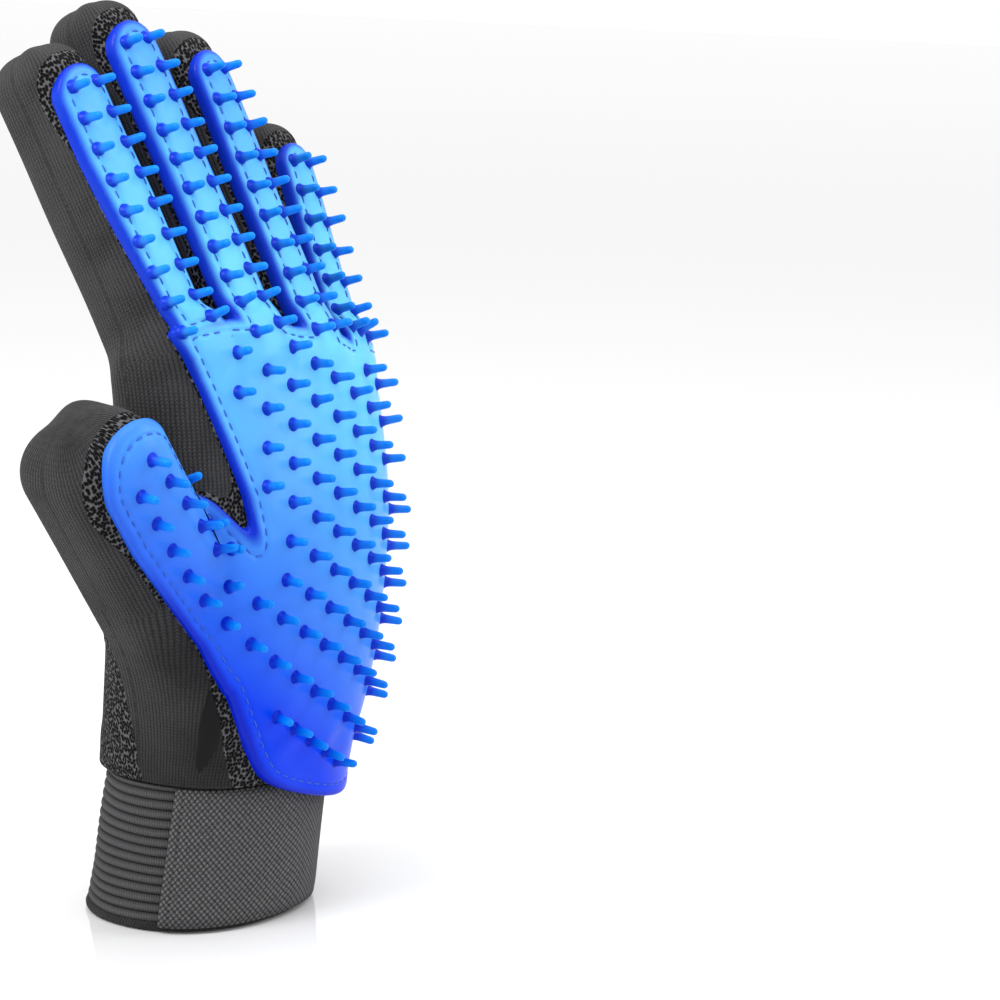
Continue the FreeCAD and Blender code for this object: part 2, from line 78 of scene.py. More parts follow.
# ---- driving values: millimetres in the glove's own frame, rim at z = 0, palm to -Y, thumb to -X ----
STEP = 0.72   # spacing of the sampling lattice for cloth and rubber
LEAN = math.radians(26.0)
SL, CL = math.sin(LEAN), math.cos(LEAN)
PAD = 2.4                       # thickness of the moulding
RIM = 1.15                      # rounding of the moulding's edge
STITCH_IN = 3.3                 # stitch line inside the moulding's edge
CUFF_TOP = 39.6
CUFF_SQUARE = 2.15
SPLIT = 134.0                   # where the fingers' own pieces start, along the lean
THUMB_FREE = 29.0               # where the thumb stands clear of the hand, along the thumb
# sections of the hand: height, centre x and y, half width, depth to the palm and depth to the back
HAND = [(24, 2.0, -1.0, 35.0, 30.0, 29.0), (38, 3.0, -1.6, 34.0, 29.8, 28.6),
        (52, 3.0, -4.5, 38.0, 29.0, 27.5), (75, 3.5, -8.0, 43.0, 27.0, 26.0),
        (105, 4.5, -9.5, 46.0, 25.0, 23.0), (135, 4.0, -8.0, 47.0, 22.0, 17.5),
        (160, 3.0, -4.5, 46.5, 19.0, 12.0), (184, 2.0, 2.0, 46.0, 17.0, 9.0)]
# base point, fan and roll in degrees, length, half width and depth, lean, centre and half width of its strip of
# moulding, rows of tips, where its two pieces meet, the middle joint, and the bare cloth beyond the strip
Digit = namedtuple("Digit", "base fan roll length width depth lean strip strip_half rows cut middle bare")
DIGITS = {
    "index": ((-29.8, -4.0, 160.0), -6.5, -6.0, 80.0, 10.0, 12.4, LEAN, 0.5, 9.4, 9, 20.0, 36.0, 9.0),
    "middle": ((-7.3, -10.0, 159.0), -6.5, -3.0, 94.0, 9.9, 12.0, LEAN, -1.0, 8.3, 11, 22.0, 40.0, 9.5),
    "ring": ((14.0, -11.5, 157.0), -4.0, 3.0, 87.0, 10.0, 11.5, LEAN, -0.2, 7.8, 10, 21.0, 38.0, 9.5),
    "little": ((35.2, -7.0, 152.0), 6.0, 6.0, 65.0, 9.4, 10.5, LEAN, 0.0, 7.3, 7, 17.0, 30.0, 10.0),
    "thumb": ((-25.2, -13.5, 77.3), -36.0, -8.0, 82.0, 16.4, 14.8, 0.0, 4.6, 14.2, 7, 51.0, 58.0, 5.0),
}
DIGITS = {name: Digit(*values) for name, values in DIGITS.items()}
FINGERS = ["index", "middle", "ring", "little"]
SQUARE_HAND, SQUARE_FINGER = 2.5, 3.4   # how square the cross-sections are (2 is an ellipse)
ROOT = {"thumb": 16.0}          # how far a digit's solid runs down inside the hand
FINGER_ROOT = 9.0
WEB_BLEND = 6.0                 # softness of the webs between fingers
NUB_HEIGHT, NUB_SINK = 6.4, 0.15
NUB_ROUND, NUB_UP = 9.4, 9.9    # spacing of the palm's tips round the hand and up it
OUTER_PITCH, INNER_PITCH, HEEL_PITCH = 9.8, 9.4, 8.6

# Rim of the palm moulding, seen from the palm side (x, z): down the index side to the thumb's fork,
# round the ball of the thumb, along the heel and up the little finger's side.
INDEX_SIDE = [(-38, 172), (-32, 147), (-22, 110)]
THUMB_BALL = [(-29, 97), (-35, 81), (-29, 67), (-22, 53)]
HEEL = [(-13, 41), (8, 33), (25, 31), (34, 38)]
LITTLE_SIDE = [(42, 58), (49, 100), (50, 140), (48, 172), (0, 184)]
SLOT_SLOPE = ([-20, 30], [139, 129])    # how high the moulding reaches between the fingers, by x
WEB_SLOPE = ([-20, 25], [140, 132])     # how high the cloth reaches between the fingers, by x
SIDE_WRAP = 0.8                 # how soon the moulding ends once it turns round a finger's side
# near its root a strip shifts sideways, by distance along the digit, and widens or narrows by a share of that
STRIP_SPREAD = {"thumb": ([0, 48], [6.5, 0.0]), "index": ([0, 46], [1.6, 0.0])}
STRIP_WIDER = {"thumb": 0.25, "index": -1.0}
# how far a strip runs into the palm
STRIP_FOOT = {"thumb": 2.0, "index": 6.0, "middle": 12.0, "ring": 12.0, "little": 12.0}

# Rows of soft tips (x, z): along the thumb and across the ball, inside the thumb, and on the heel
OUTER_ROW = [(-64, 125), (-27, 83), (36, 42)]
INNER_ROW = [(-61, 134), (-47, 121), (-29, 101)]
HEEL_ROW = [(-15, 60), (20, 38)]


# ---------------------------------------------------------------- shape functions
def row_table(rows):
    r = np.array(rows, float)
    z = r[:, 0]
    slope = np.gradient(r[:, 1:], z, axis=0)
    zz = np.linspace(z[0], z[-1], 400)
    k = np.clip(np.searchsorted(z, zz, side="right") - 1, 0, len(z) - 2)
    h = z[k + 1] - z[k]
    u = (zz - z[k]) / h
    a, b = 2 * u ** 3 - 3 * u ** 2 + 1, u ** 3 - 2 * u ** 2 + u
    c, d = 3 * u ** 2 - 2 * u ** 3, u ** 3 - u ** 2
    return zz, (a[:, None] * r[k, 1:] + (b * h)[:, None] * slope[k]
                + c[:, None] * r[k + 1, 1:] + (d * h)[:, None] * slope[k + 1])


TABLE_Z, TABLE = row_table(HAND)


def hand_row(z):
    return [np.interp(z, TABLE_Z, TABLE[:, i]) for i in range(5)]


def smin(a, b, k):
    h = np.clip(0.5 + 0.5 * (b - a) / k, 0, 1)
    return b + (a - b) * h - k * h * (1 - h)


def smax(a, b, k):
    return -smin(-a, -b, k)


def oval(dx, dy, a, b, n):
    g = np.maximum((np.abs(dx / a) ** n + np.abs(dy / b) ** n) ** (1 / n), 1e-3)
    return np.sqrt(dx * dx + dy * dy) * (1 - 1 / g)


def along(y, z):
    return y * SL + z * CL


def hand(x, y, z):
    cx, cy, a, front, back = hand_row(z)
    dx, dy = x - cx, y - cy
    d = oval(dx, dy, a, np.where(dy > 0, back, front), SQUARE_HAND)
    return smax(d, along(y, z) - np.interp(x, *WEB_SLOPE), 7.0)


def axes_of(name):
    base, fan, roll = DIGITS[name][:3]
    lean = DIGITS[name].lean
    f, r = math.radians(fan), math.radians(roll)
    ax = np.array([math.sin(f), math.cos(f) * math.sin(lean), math.cos(f) * math.cos(lean)])
    ac = np.array([math.cos(f), -math.sin(f) * math.sin(lean), -math.sin(f) * math.cos(lean)])
    bk = np.cross(ax, ac)
    across = ac * math.cos(r) + bk * math.sin(r)
    return np.array(base), across, np.cross(ax, across), ax


AXES = {n: axes_of(n) for n in DIGITS}


def local(name, x, y, z):
    base, a, b, c = AXES[name]
    px, py, pz = x - base[0], y - base[1], z - base[2]
    return (px * a[0] + py * a[1] + pz * a[2], px * b[0] + py * b[1] + pz * b[2],
            px * c[0] + py * c[1] + pz * c[2])


def world(name, x, y, s):
    base, a, b, c = AXES[name]
    return base + a * x + b * y + c * s


def digit(name, x, y, z):
    lx, ly, s = local(name, x, y, z)
    length, hw, hd = DIGITS[name][3:6]
    flat = oval(lx, ly, hw, hd, SQUARE_FINGER)
    r = 0.95 * hw
    ds = s - (length - r)
    v = np.sqrt(np.maximum(flat + r, 0) ** 2 + np.maximum(ds, 0) ** 2) - r
    v = v + np.minimum(np.maximum(flat + r, ds), 0)
    return smax(v, -(s + ROOT.get(name, FINGER_ROOT)), 5.0)


def creases(x, y, z):
    """Soft folds: at the wrist, at the thumb's root and across the back."""
    wrist = np.exp(-((z - 46.0) / 7.0) ** 2) * np.sin(x * 0.33 + y * 0.21 + 1.2 * np.sin(z * 0.3))
    web = np.exp(-(((x + 31) ** 2 + (z - 112) ** 2) / 240.0)) * np.sin(0.55 * (z + 0.7 * x))
    slow = np.sin(0.09 * x + 0.05 * z) * np.sin(0.07 * z + 0.11 * y + 1.0)
    return 0.34 * wrist + 0.3 * web + 0.25 * slow - 0.3


def skin(x, y, z, name="all", hemmed=False):
    """Signed distance to the cloth of the whole glove, of the thumb alone, or of the hand with one finger."""
    if name == "thumb":
        return digit("thumb", x, y, z) - creases(x, y, z)
    h = hand(x, y, z)
    if name in FINGERS:
        f = smin(h, digit(name, x, y, z), WEB_BLEND)
    else:
        s = local("thumb", x, y, z)[2]
        f = smin(h, digit("thumb", x, y, z), np.interp(s, [12.0, THUMB_FREE - 1.0], [9.0, 1.0]))
        for n in FINGERS:
            f = np.minimum(f, smin(h, digit(n, x, y, z), WEB_BLEND))
    f = f - creases(x, y, z)
    return smax(f, CUFF_TOP + 0.15 - z, 2.0) if hemmed else f


ALONG = np.array([0.0, SL, CL])


def knuckle_point(name):
    """Where a finger's knuckle hinge crosses the finger."""
    c = AXES[name][3]
    low = world(name, 0, -(DIGITS[name].depth + PAD - 6.0), 0)
    return low + c * ((136.0 - low @ ALONG) / (c @ ALONG))


# from the glove's frame to the row frame, read off one hinge
SHIFT = np.array(JOINTS["index_knuckle"]["pos_m"]) * 1000.0 - knuckle_point("index")


def curve_through(points, closed=True, steps=7):
    """Rounded outline through control points."""
    p = np.array(points, float)
    n = len(p)
    out = []
    for i in range(n if closed else n - 1):
        a, b = p[(i - 1) % n], p[i]
        c, d = p[(i + 1) % n], p[(i + 2) % n]
        if not closed:
            a, d = p[max(i - 1, 0)], p[min(i + 2, n - 1)]
        for k in range(steps):
            t = k / steps
            out.append(0.5 * (2 * b + (c - a) * t + (2 * a - 5 * b + 4 * c - d) * t * t
                              + (3 * b - a - 3 * c + d) * t ** 3))
    return np.array(out)


def polygon_distance(x, z, loop):
    """Signed distance in the XZ plane, negative inside."""
    x, z = np.broadcast_arrays(x, z)
    best = np.full(x.shape, 1e9)
    inside = np.zeros(x.shape, bool)
    for i in range(len(loop)):
        ax, az = loop[i]
        bx, bz = loop[(i + 1) % len(loop)]
        ex, ez = bx - ax, bz - az
        wx, wz = x - ax, z - az
        t = np.clip((wx * ex + wz * ez) / (ex * ex + ez * ez + 1e-12), 0, 1)
        best = np.minimum(best, (wx - ex * t) ** 2 + (wz - ez * t) ** 2)
        cross = ((az > z) != (bz > z)) & (x < ex * (z - az) / (ez if abs(ez) > 1e-9 else 1e-9) + ax)
        inside ^= cross
    return np.where(inside, -1, 1) * np.sqrt(best)


PALM_LOOP = curve_through(INDEX_SIDE + THUMB_BALL + HEEL + LITTLE_SIDE)


def finger_strip(name, x, y, z):
    """Distance to the rim of a digit's own strip of the moulding: straight sides and a round end."""
    lx, ly, s = local(name, x, y, z)
    d = DIGITS[name]
    end = d.length - d.bare - d.strip_half
    spread, half = 0.0, d.strip_half
    if name in STRIP_SPREAD:
        spread = np.interp(s, *STRIP_SPREAD[name])
        half = half + spread * STRIP_WIDER[name]
    strip = np.sqrt((lx - d.strip - spread) ** 2 + np.maximum(s - end, 0) ** 2) - half
    wrap = SIDE_WRAP
    if name == "thumb":
        # at its fork the thumb's strip runs on into the palm without a rim
        fork = SIDE_WRAP * np.interp(s, [THUMB_FREE - 6.0, THUMB_FREE + 24.0], [0.0, 1.0])
        wrap = np.where(lx > d.strip, fork, SIDE_WRAP)
    strip = strip + wrap * np.maximum(0, ly + 0.78 * d.depth)
    return np.maximum(strip, -(s + STRIP_FOOT[name]))


def pad_outline(x, y, z, name="all"):
    """Distance to the moulding's edge along the cloth, negative on the moulding."""
    palm = polygon_distance(x, z, PALM_LOOP)
    palm = smax(palm, along(y, z) - np.interp(x, *SLOT_SLOPE), 2.0)
    cy, front = hand_row(z)[1], hand_row(z)[3]
    share = np.interp(x, [-24.0, 4.0], [0.0, 1.0])
    limit = -13.0 * (1 - share) + share * (cy - 0.25 * front)
    palm = smax(palm, y - limit, 1.5)
    if name in ("all", "thumb"):
        palm = smin(palm, finger_strip("thumb", x, y, z), 5.0)
    for n in ([name] if name in FINGERS else (FINGERS if name == "all" else [])):
        palm = smin(palm, finger_strip(n, x, y, z), 1.6)
    return palm


def rubber(x, y, z, name="all"):
    """Signed distance to the moulding: a rounded slab on the cloth with a shallow stitch channel."""
    f = skin(x, y, z, name)
    g = pad_outline(x, y, z, name)
    top = PAD - 0.32 * np.exp(-((g + STITCH_IN) / 0.62) ** 2)
    a, b = f - top + RIM, g + RIM
    edge = np.sqrt(np.maximum(a, 0) ** 2 + np.maximum(b, 0) ** 2) + np.minimum(np.maximum(a, b), 0) - RIM
    return np.maximum(edge, -f - 0.9)


# ---------------------------------------------------------------- surface from a function
def gradient(fn, p, e=0.25):
    g = np.empty_like(p)
    for i in range(3):
        q, r = p.copy(), p.copy()
        q[:, i] += e
        r[:, i] -= e
        g[:, i] = (fn(*q.T) - fn(*r.T)) / (2 * e)
    return g


def surface(fn, low, high, settle=2):
    """Quads on the zero level of fn, on a lattice shared by every piece."""
    i0 = np.floor(np.array(low) / STEP).astype(int)
    i1 = np.ceil(np.array(high) / STEP).astype(int)
    ax = [np.arange(i0[k], i1[k] + 1) * STEP for k in range(3)]
    f = fn(ax[0][:, None, None], ax[1][None, :, None], ax[2][None, None, :]).astype(np.float32)
    s = f < 0
    nx, ny, nz = f.shape
    shape = (nx - 1, ny - 1, nz - 1)
    total = np.zeros(shape + (3,), np.float32)
    count = np.zeros(shape, np.float32)
    for axis in range(3):
        a = [slice(None)] * 3
        b = [slice(None)] * 3
        a[axis], b[axis] = slice(0, -1), slice(1, None)
        fa, fb = f[tuple(a)], f[tuple(b)]
        cross = (fa < 0) != (fb < 0)
        t = np.where(cross, fa / np.where(cross, fa - fb, 1), 0)
        others = [k for k in range(3) if k != axis]
        for u in (0, 1):
            for v in (0, 1):
                sl = [slice(None)] * 3
                sl[others[0]] = slice(u, shape[others[0]] + u)
                sl[others[1]] = slice(v, shape[others[1]] + v)
                c = cross[tuple(sl)]
                count += c
                total[..., axis] += np.where(c, t[tuple(sl)], 0)
                total[..., others[0]] += c * u
                total[..., others[1]] += c * v
    active = count > 0
    index = np.full(shape, -1, np.int64)
    index[active] = np.arange(active.sum())
    cell = np.argwhere(active)
    verts = (cell + total[active] / count[active][:, None] + i0) * STEP
    quads = []
    for axis in range(3):
        o1, o2 = [k for k in range(3) if k != axis]
        a = [slice(1, -1)] * 3
        b = [slice(1, -1)] * 3
        a[axis], b[axis] = slice(0, -1), slice(1, None)
        sa, sb = s[tuple(a)], s[tuple(b)]
        where = np.argwhere(sa != sb)
        flip = sa[tuple(where.T)]
        base = where.copy()
        base[:, o1] += 1
        base[:, o2] += 1
        corners = []
        for u, v in ((-1, -1), (0, -1), (0, 0), (-1, 0)):
            q = base.copy()
            q[:, o1] += u
            q[:, o2] += v
            corners.append(index[tuple(q.T)])
        quad = np.stack(corners, 1)
        if axis == 1:
            flip = ~flip
        quad[~flip] = quad[~flip][:, ::-1]
        quads.append(quad)
    faces = np.concatenate(quads)
    faces = faces[(faces >= 0).all(1)]
    v = verts.astype(float)
    for _ in range(settle):
        g = gradient(fn, v)
        val = fn(*v.T)
        v = v - np.clip(val, -STEP, STEP)[:, None] * g / np.maximum((g * g).sum(1), 0.2)[:, None]
    return v, faces


def split(v, faces, fn, region, pull=2):
    """Cuts a surface in two along region = 0 and draws the shared border onto it."""
    h = region(v)
    inside = h < 0
    cnt = inside[faces].sum(1)
    take = cnt >= 2
    used_in = np.zeros(len(v), bool)
    used_out = np.zeros(len(v), bool)
    used_in[faces[take].ravel()] = True
    used_out[faces[~take].ravel()] = True
    border = np.where(used_in & used_out)[0]
    v = v.copy()
    if len(border):
        for _ in range(pull):
            p = v[border]
            g = gradient(lambda x, y, z: region(np.stack([x, y, z], 1)), p)
            n = unit_normals(fn, p)
            g -= (g * n).sum(1)[:, None] * n
            step = region(p)[:, None] * g / np.maximum((g * g).sum(1), 0.1)[:, None]
            length = np.linalg.norm(step, axis=1)[:, None]
            step *= np.minimum(1, 0.9 * STEP / np.maximum(length, 1e-6))
            p = p - step
            val = fn(*p.T)
            p = p - np.clip(val, -STEP, STEP)[:, None] * n
            v[border] = p
    return v, faces[take], faces[~take]


def compact(v, faces):
    used = np.unique(faces)
    back = np.full(len(v), -1)
    back[used] = np.arange(len(used))
    return v[used], back[faces]


def make(name, v, faces, material, smooth=True, normals=None, extra=None):
    """Mesh object in the row frame from millimetres in the glove's frame."""
    mesh = bpy.data.meshes.new(name)
    co = (np.asarray(v, float) + SHIFT) / 1000.0
    if isinstance(faces, np.ndarray):
        n, k = faces.shape
        mesh.vertices.add(len(co))
        mesh.vertices.foreach_set("co", co.ravel())
        mesh.loops.add(n * k)
        mesh.loops.foreach_set("vertex_index", faces.ravel().astype(np.int32))
        mesh.polygons.add(n)
        mesh.polygons.foreach_set("loop_start", np.arange(0, n * k, k, dtype=np.int32))
        mesh.polygons.foreach_set("loop_total", np.full(n, k, np.int32))
        mesh.update(calc_edges=True)
    else:
        mesh.from_pydata([tuple(c) for c in co], [], faces)
    mesh.validate()
    mesh.polygons.foreach_set("use_smooth", np.full(len(mesh.polygons), smooth))
    for key, values in (extra or {}).items():
        layer = mesh.attributes.new(key, "FLOAT", "POINT")
        layer.data.foreach_set("value", np.asarray(values, np.float32))
    if normals is not None and len(mesh.vertices) == len(normals):
        mesh.normals_split_custom_set_from_vertices([tuple(n) for n in normals])
    obj = bpy.data.objects.new(name, mesh)
    bpy.context.scene.collection.objects.link(obj)
    if material is not None:
        mesh.materials.append(material)
    return obj


def unit_normals(fn, v):
    g = gradient(fn, v)
    return g / np.maximum(np.linalg.norm(g, axis=1), 1e-6)[:, None]


# ---------------------------------------------------------------- materials
def shader(name, colour, roughness, **extra):
    m = bpy.data.materials.new(name)
    m.use_nodes = True
    b = m.node_tree.nodes["Principled BSDF"]
    b.inputs["Base Color"].default_value = (*colour, 1)
    b.inputs["Roughness"].default_value = roughness
    for key, value in extra.items():
        b.inputs[key.replace("_", " ")].default_value = value
    return m, m.node_tree, b


def calc(tree, op, *values):
    n = tree.nodes.new("ShaderNodeMath")
    n.operation = op
    for i, value in enumerate(values):
        if isinstance(value, (int, float)):
            n.inputs[i].default_value = value
        else:
            tree.links.new(value, n.inputs[i])
    return n.outputs[0]


def add(tree, a, b):
    return calc(tree, "ADD", a, b)


def mul(tree, a, b):
    return calc(tree, "MULTIPLY", a, b)


def ridges(tree, value):
    """Rounded ridges, one for each half turn of the value."""
    return calc(tree, "ABSOLUTE", calc(tree, "SINE", value))


def value_of(tree, key):
    n = tree.nodes.new("ShaderNodeAttribute")
    n.attribute_name = key
    return n.outputs["Fac"]


def mixed(tree, factor, low, high):
    n = tree.nodes.new("ShaderNodeMix")
    n.data_type = "RGBA"
    for socket, value in ((n.inputs[0], factor), (n.inputs[6], low), (n.inputs[7], high)):
        if isinstance(value, (int, float)):
            socket.default_value = value
        elif isinstance(value, tuple):
            socket.default_value = (*value, 1)
        else:
            tree.links.new(value, socket)
    return n.outputs[2]


def noise(tree, scale, detail=3.0, vector=None):
    n = tree.nodes.new("ShaderNodeTexNoise")
    n.inputs["Scale"].default_value = scale
    n.inputs["Detail"].default_value = detail
    if vector is not None:
        tree.links.new(vector, n.inputs["Vector"])
    return n.outputs[0]


def place(tree):
    return tree.nodes.new("ShaderNodeTexCoord").outputs["Object"]


def bump(tree, shader_node, height, strength, distance):
    n = tree.nodes.new("ShaderNodeBump")
    n.inputs["Strength"].default_value = strength
    n.inputs["Distance"].default_value = distance
    tree.links.new(height, n.inputs["Height"])
    tree.links.new(n.outputs[0], shader_node.inputs["Normal"])


def pair(tree, u, v):
    n = tree.nodes.new("ShaderNodeCombineXYZ")
    tree.links.new(u, n.inputs[0])
    tree.links.new(v, n.inputs[1])
    return n.outputs[0]


def painted_light_by_height(tree):
    """Painted light: the knit's colour is painted paler up the fingers and darker at the wrist, as if lit from
    above.
    """
    split_node = tree.nodes.new("ShaderNodeSeparateXYZ")
    tree.links.new(place(tree), split_node.inputs[0])
    ramp = tree.nodes.new("ShaderNodeMapRange")
    for k, value in enumerate((0.05, 0.18, 0.68, 1.5), start=1):
        ramp.inputs[k].default_value = value
    tree.links.new(split_node.outputs["Z"], ramp.inputs[0])
    return ramp.outputs[0]


def knit_material(name, dark, light, wale=1.15, course=0.95):
    """Fine rib knit: raised columns of slanted loops, with a brushed face."""
    m, t, b = shader(name, light, 0.86, Specular_IOR_Level=0.1, Sheen_Weight=0.06, Sheen_Roughness=0.5)
    u, v = value_of(t, "u"), value_of(t, "v")
    wander = noise(t, 160.0, 2.0, place(t))
    u = add(t, u, mul(t, wander, 0.5))
    column = ridges(t, mul(t, u, math.pi / wale))
    slant = calc(t, "ABSOLUTE", calc(t, "SUBTRACT", calc(t, "FRACT", calc(t, "DIVIDE", u, wale)), 0.5))
    loops = calc(t, "SINE", mul(t, add(t, v, mul(t, slant, 1.3)), 2 * math.pi / course))
    loops = calc(t, "MULTIPLY_ADD", loops, 0.5, 0.5)
    height = mul(t, column, calc(t, "MULTIPLY_ADD", loops, 0.55, 0.45))
    fuzz = noise(t, 1500.0, 2.0, place(t))
    patch = noise(t, 60.0, 3.0, place(t))
    tone = add(t, mul(t, height, 0.62), mul(t, fuzz, 0.42))
    tone = mul(t, tone, add(t, 0.1, mul(t, patch, 2.0)))
    # painted light from above: the knit's tone is raised with height up the glove
    tone = mul(t, tone, painted_light_by_height(t))
    t.links.new(mixed(t, tone, dark, light), b.inputs["Base Color"])
    bump(t, b, add(t, height, mul(t, fuzz, 0.5)), 0.75, 0.00045)
    return m


def mesh_material(name):
    """Open spacer knit: round holes in rows between pale threads, with the holes painted near black, painted
    shade inside the openings.
    """
    m, t, b = shader(name, (0.1, 0.1, 0.105), 0.8, Specular_IOR_Level=0.1)
    n = t.nodes.new("ShaderNodeTexVoronoi")
    n.voronoi_dimensions = "2D"
    n.inputs["Scale"].default_value = 1.15
    n.inputs["Randomness"].default_value = 0.95
    t.links.new(pair(t, value_of(t, "u"), mul(t, value_of(t, "v"), 0.8)), n.inputs["Vector"])
    ring = t.nodes.new("ShaderNodeMapRange")
    ring.interpolation_type = "SMOOTHSTEP"
    ring.inputs[1].default_value, ring.inputs[2].default_value = 0.3, 0.62
    t.links.new(n.outputs["Distance"], ring.inputs[0])
    fine = noise(t, 1400.0, 2.0, place(t))
    thread = mul(t, ring.outputs[0], add(t, 0.1, mul(t, fine, 1.6)))
    # the near-black colour is painted shade in the holes, the paler one the threads
    t.links.new(mixed(t, thread, (0.0008, 0.0008, 0.001), (0.105, 0.105, 0.108)), b.inputs["Base Color"])
    bump(t, b, add(t, ring.outputs[0], mul(t, fine, 0.3)), 1.0, 0.0007)
    return m


def weave_material(name, pitch=1.6):
    """Flat webbing: small lozenges of two crossing yarns."""
    m, t, b = shader(name, (0.08, 0.08, 0.085), 0.72, Specular_IOR_Level=0.12, Sheen_Weight=0.04)
    u, v = value_of(t, "u"), value_of(t, "v")
    k = 2 * math.pi / pitch
    one = ridges(t, mul(t, add(t, u, mul(t, v, 0.9)), k * 0.5))
    two = ridges(t, mul(t, calc(t, "SUBTRACT", u, mul(t, v, 0.9)), k * 0.5))
    cell = mul(t, one, two)
    strand = ridges(t, mul(t, v, k * 1.7))
    fine = noise(t, 1300.0, 2.0, place(t))
    yarn = add(t, 0.75, mul(t, strand, 0.3))
    height = mul(t, calc(t, "POWER", cell, 0.6), yarn)
    tone = mul(t, height, add(t, 0.2, mul(t, fine, 1.7)))
    t.links.new(mixed(t, tone, (0.003, 0.003, 0.0033), (0.13, 0.13, 0.134)), b.inputs["Base Color"])
    bump(t, b, height, 0.9, 0.0005)
    return m


def elastic_material(name):
    """Ribbed elastic with fine upright threads; painted shade in its colour: paler on the crown of each rib,
    darker in the valleys between.
    """
    m, t, b = shader(name, (0.06, 0.06, 0.062), 0.8, Specular_IOR_Level=0.1, Sheen_Weight=0.04)
    u, h = value_of(t, "u"), value_of(t, "h")
    threads = ridges(t, add(t, mul(t, u, math.pi / 0.8), mul(t, value_of(t, "v"), 1.2)))
    fine = noise(t, 1500.0, 2.0, place(t))
    speckle = add(t, mul(t, threads, 0.45), mul(t, fine, 0.5))
    # painted shade: the tone follows how far out the rib stands, dark in the valleys
    crown = add(t, mul(t, h, 0.75), 0.05)
    tone = mul(t, crown, add(t, 0.4, speckle))
    t.links.new(mixed(t, tone, (0.003, 0.003, 0.0033), (0.085, 0.085, 0.088)), b.inputs["Base Color"])
    bump(t, b, add(t, threads, fine), 0.6, 0.0003)
    return m


# the second colour is painted light: the pale azure of the moulding's lit side
DEEP_BLUE, PAINTED_LIT_AZURE = (0.0, 0.04, 0.71), (0.135, 0.56, 0.84)
# the first colour here is painted shade, at the moulding's rim and at the feet of the soft tips
RIM_SHADE_BLUE, TIP_BLUE = (0.0, 0.012, 0.46), (0.0, 0.2, 0.72)


def rubber_material(name):
    """Glossy, slightly see-through azure moulding. Painted light and shade in its colour: painted paler where
    light falls on it, painted shade at the rim and at the soft tips' feet, and a mid blue towards the tips'
    ends.
    """
    m, t, b = shader(name, (0.01, 0.11, 0.75), 0.28, Specular_IOR_Level=0.08,
                     Coat_Weight=0.04, Coat_Roughness=0.1)
    b.inputs["Subsurface Weight"].default_value = 0.15
    b.inputs["Subsurface Radius"].default_value = (0.1, 0.5, 1.0)
    b.inputs["Subsurface Scale"].default_value = 0.0025
    # the rim attribute carries painted shade, at the moulding's rim and at the soft tips' feet
    rim, tip = value_of(t, "rim"), value_of(t, "tip")
    # the high attribute carries painted light: where it is 1 the colour is painted pale as if lit, broken by a
    # random cloud
    high = value_of(t, "high")
    cloud = noise(t, 26.0, 2.0, place(t))
    lift = mul(t, add(t, 0.72, mul(t, cloud, 0.5)), high)
    body = mixed(t, lift, DEEP_BLUE, PAINTED_LIT_AZURE)
    body = mixed(t, rim, body, RIM_SHADE_BLUE)
    body = mixed(t, tip, body, TIP_BLUE)
    t.links.new(body, b.inputs["Base Color"])
    fine = noise(t, 420.0, 2.0, place(t))
    bump(t, b, fine, 0.1, 0.0002)
    return m


MAT = {
    "gusset": knit_material("brushed rib knit", (0.002, 0.002, 0.0022), (0.046, 0.046, 0.0475)),
    "mesh": mesh_material("air mesh"),
    "pad": rubber_material("azure rubber"),
    "elastic": elastic_material("ribbed elastic"),
    "strap": weave_material("woven webbing"),
    "hem": knit_material("hem binding", (0.005, 0.005, 0.0055), (0.045, 0.045, 0.047), 0.9, 0.7),
    "hook": shader("hook tape", (0.012, 0.012, 0.013), 0.7, Specular_IOR_Level=0.2)[0],
    # the near-black sheet beside the wrist is painted shade of a fold
    "dart": shader("painted fold shade", (0.004, 0.004, 0.0045), 0.6, Specular_IOR_Level=0.12)[0],
    "thread": shader("blue thread", (0.01, 0.09, 0.5), 0.5)[0],
}


# ---------------------------------------------------------------- cloth and rubber pieces
def arc_table(a, b, n):
    phi = np.linspace(-math.pi, math.pi, 721)
    c, s = np.cos(phi), np.sin(phi)
    x = a * np.sign(c) * np.abs(c) ** (2 / n)
    y = b * np.sign(s) * np.abs(s) ** (2 / n)
    run = np.concatenate([[0], np.cumsum(np.hypot(np.diff(x), np.diff(y)))])
    return np.arctan2(y, x), run


ARC_HAND = arc_table(45.0, 24.0, SQUARE_HAND)
ARC_DIGIT = {n: arc_table(d.width, d.depth, SQUARE_FINGER) for n, d in DIGITS.items()}


def cloth_coordinates(v, name):
    """Millimetres round and along the part that the cloth covers."""
    if name == "hand":
        cx, cy = hand_row(v[:, 2])[:2]
        return np.interp(np.arctan2(v[:, 1] - cy, v[:, 0] - cx), *ARC_HAND), v[:, 2]
    lx, ly, s = local(name, *v.T)
    return np.interp(np.arctan2(ly, lx), *ARC_DIGIT[name]), s


def back_side(v, name):
    """Negative on the back panel."""
    x, y, z = v.T
    if name == "hand":
        return np.interp(z, [40, 46, 95, 112, 135, 160], [-3.0, -3.5, -3.5, 8.0, 8.0, 8.0]) - y
    ly = local(name, x, y, z)[1]
    return DIGITS[name].depth - 2.6 - ly


MESH_EDGE = 3.3                 # strip of palm mesh that shows beside the moulding


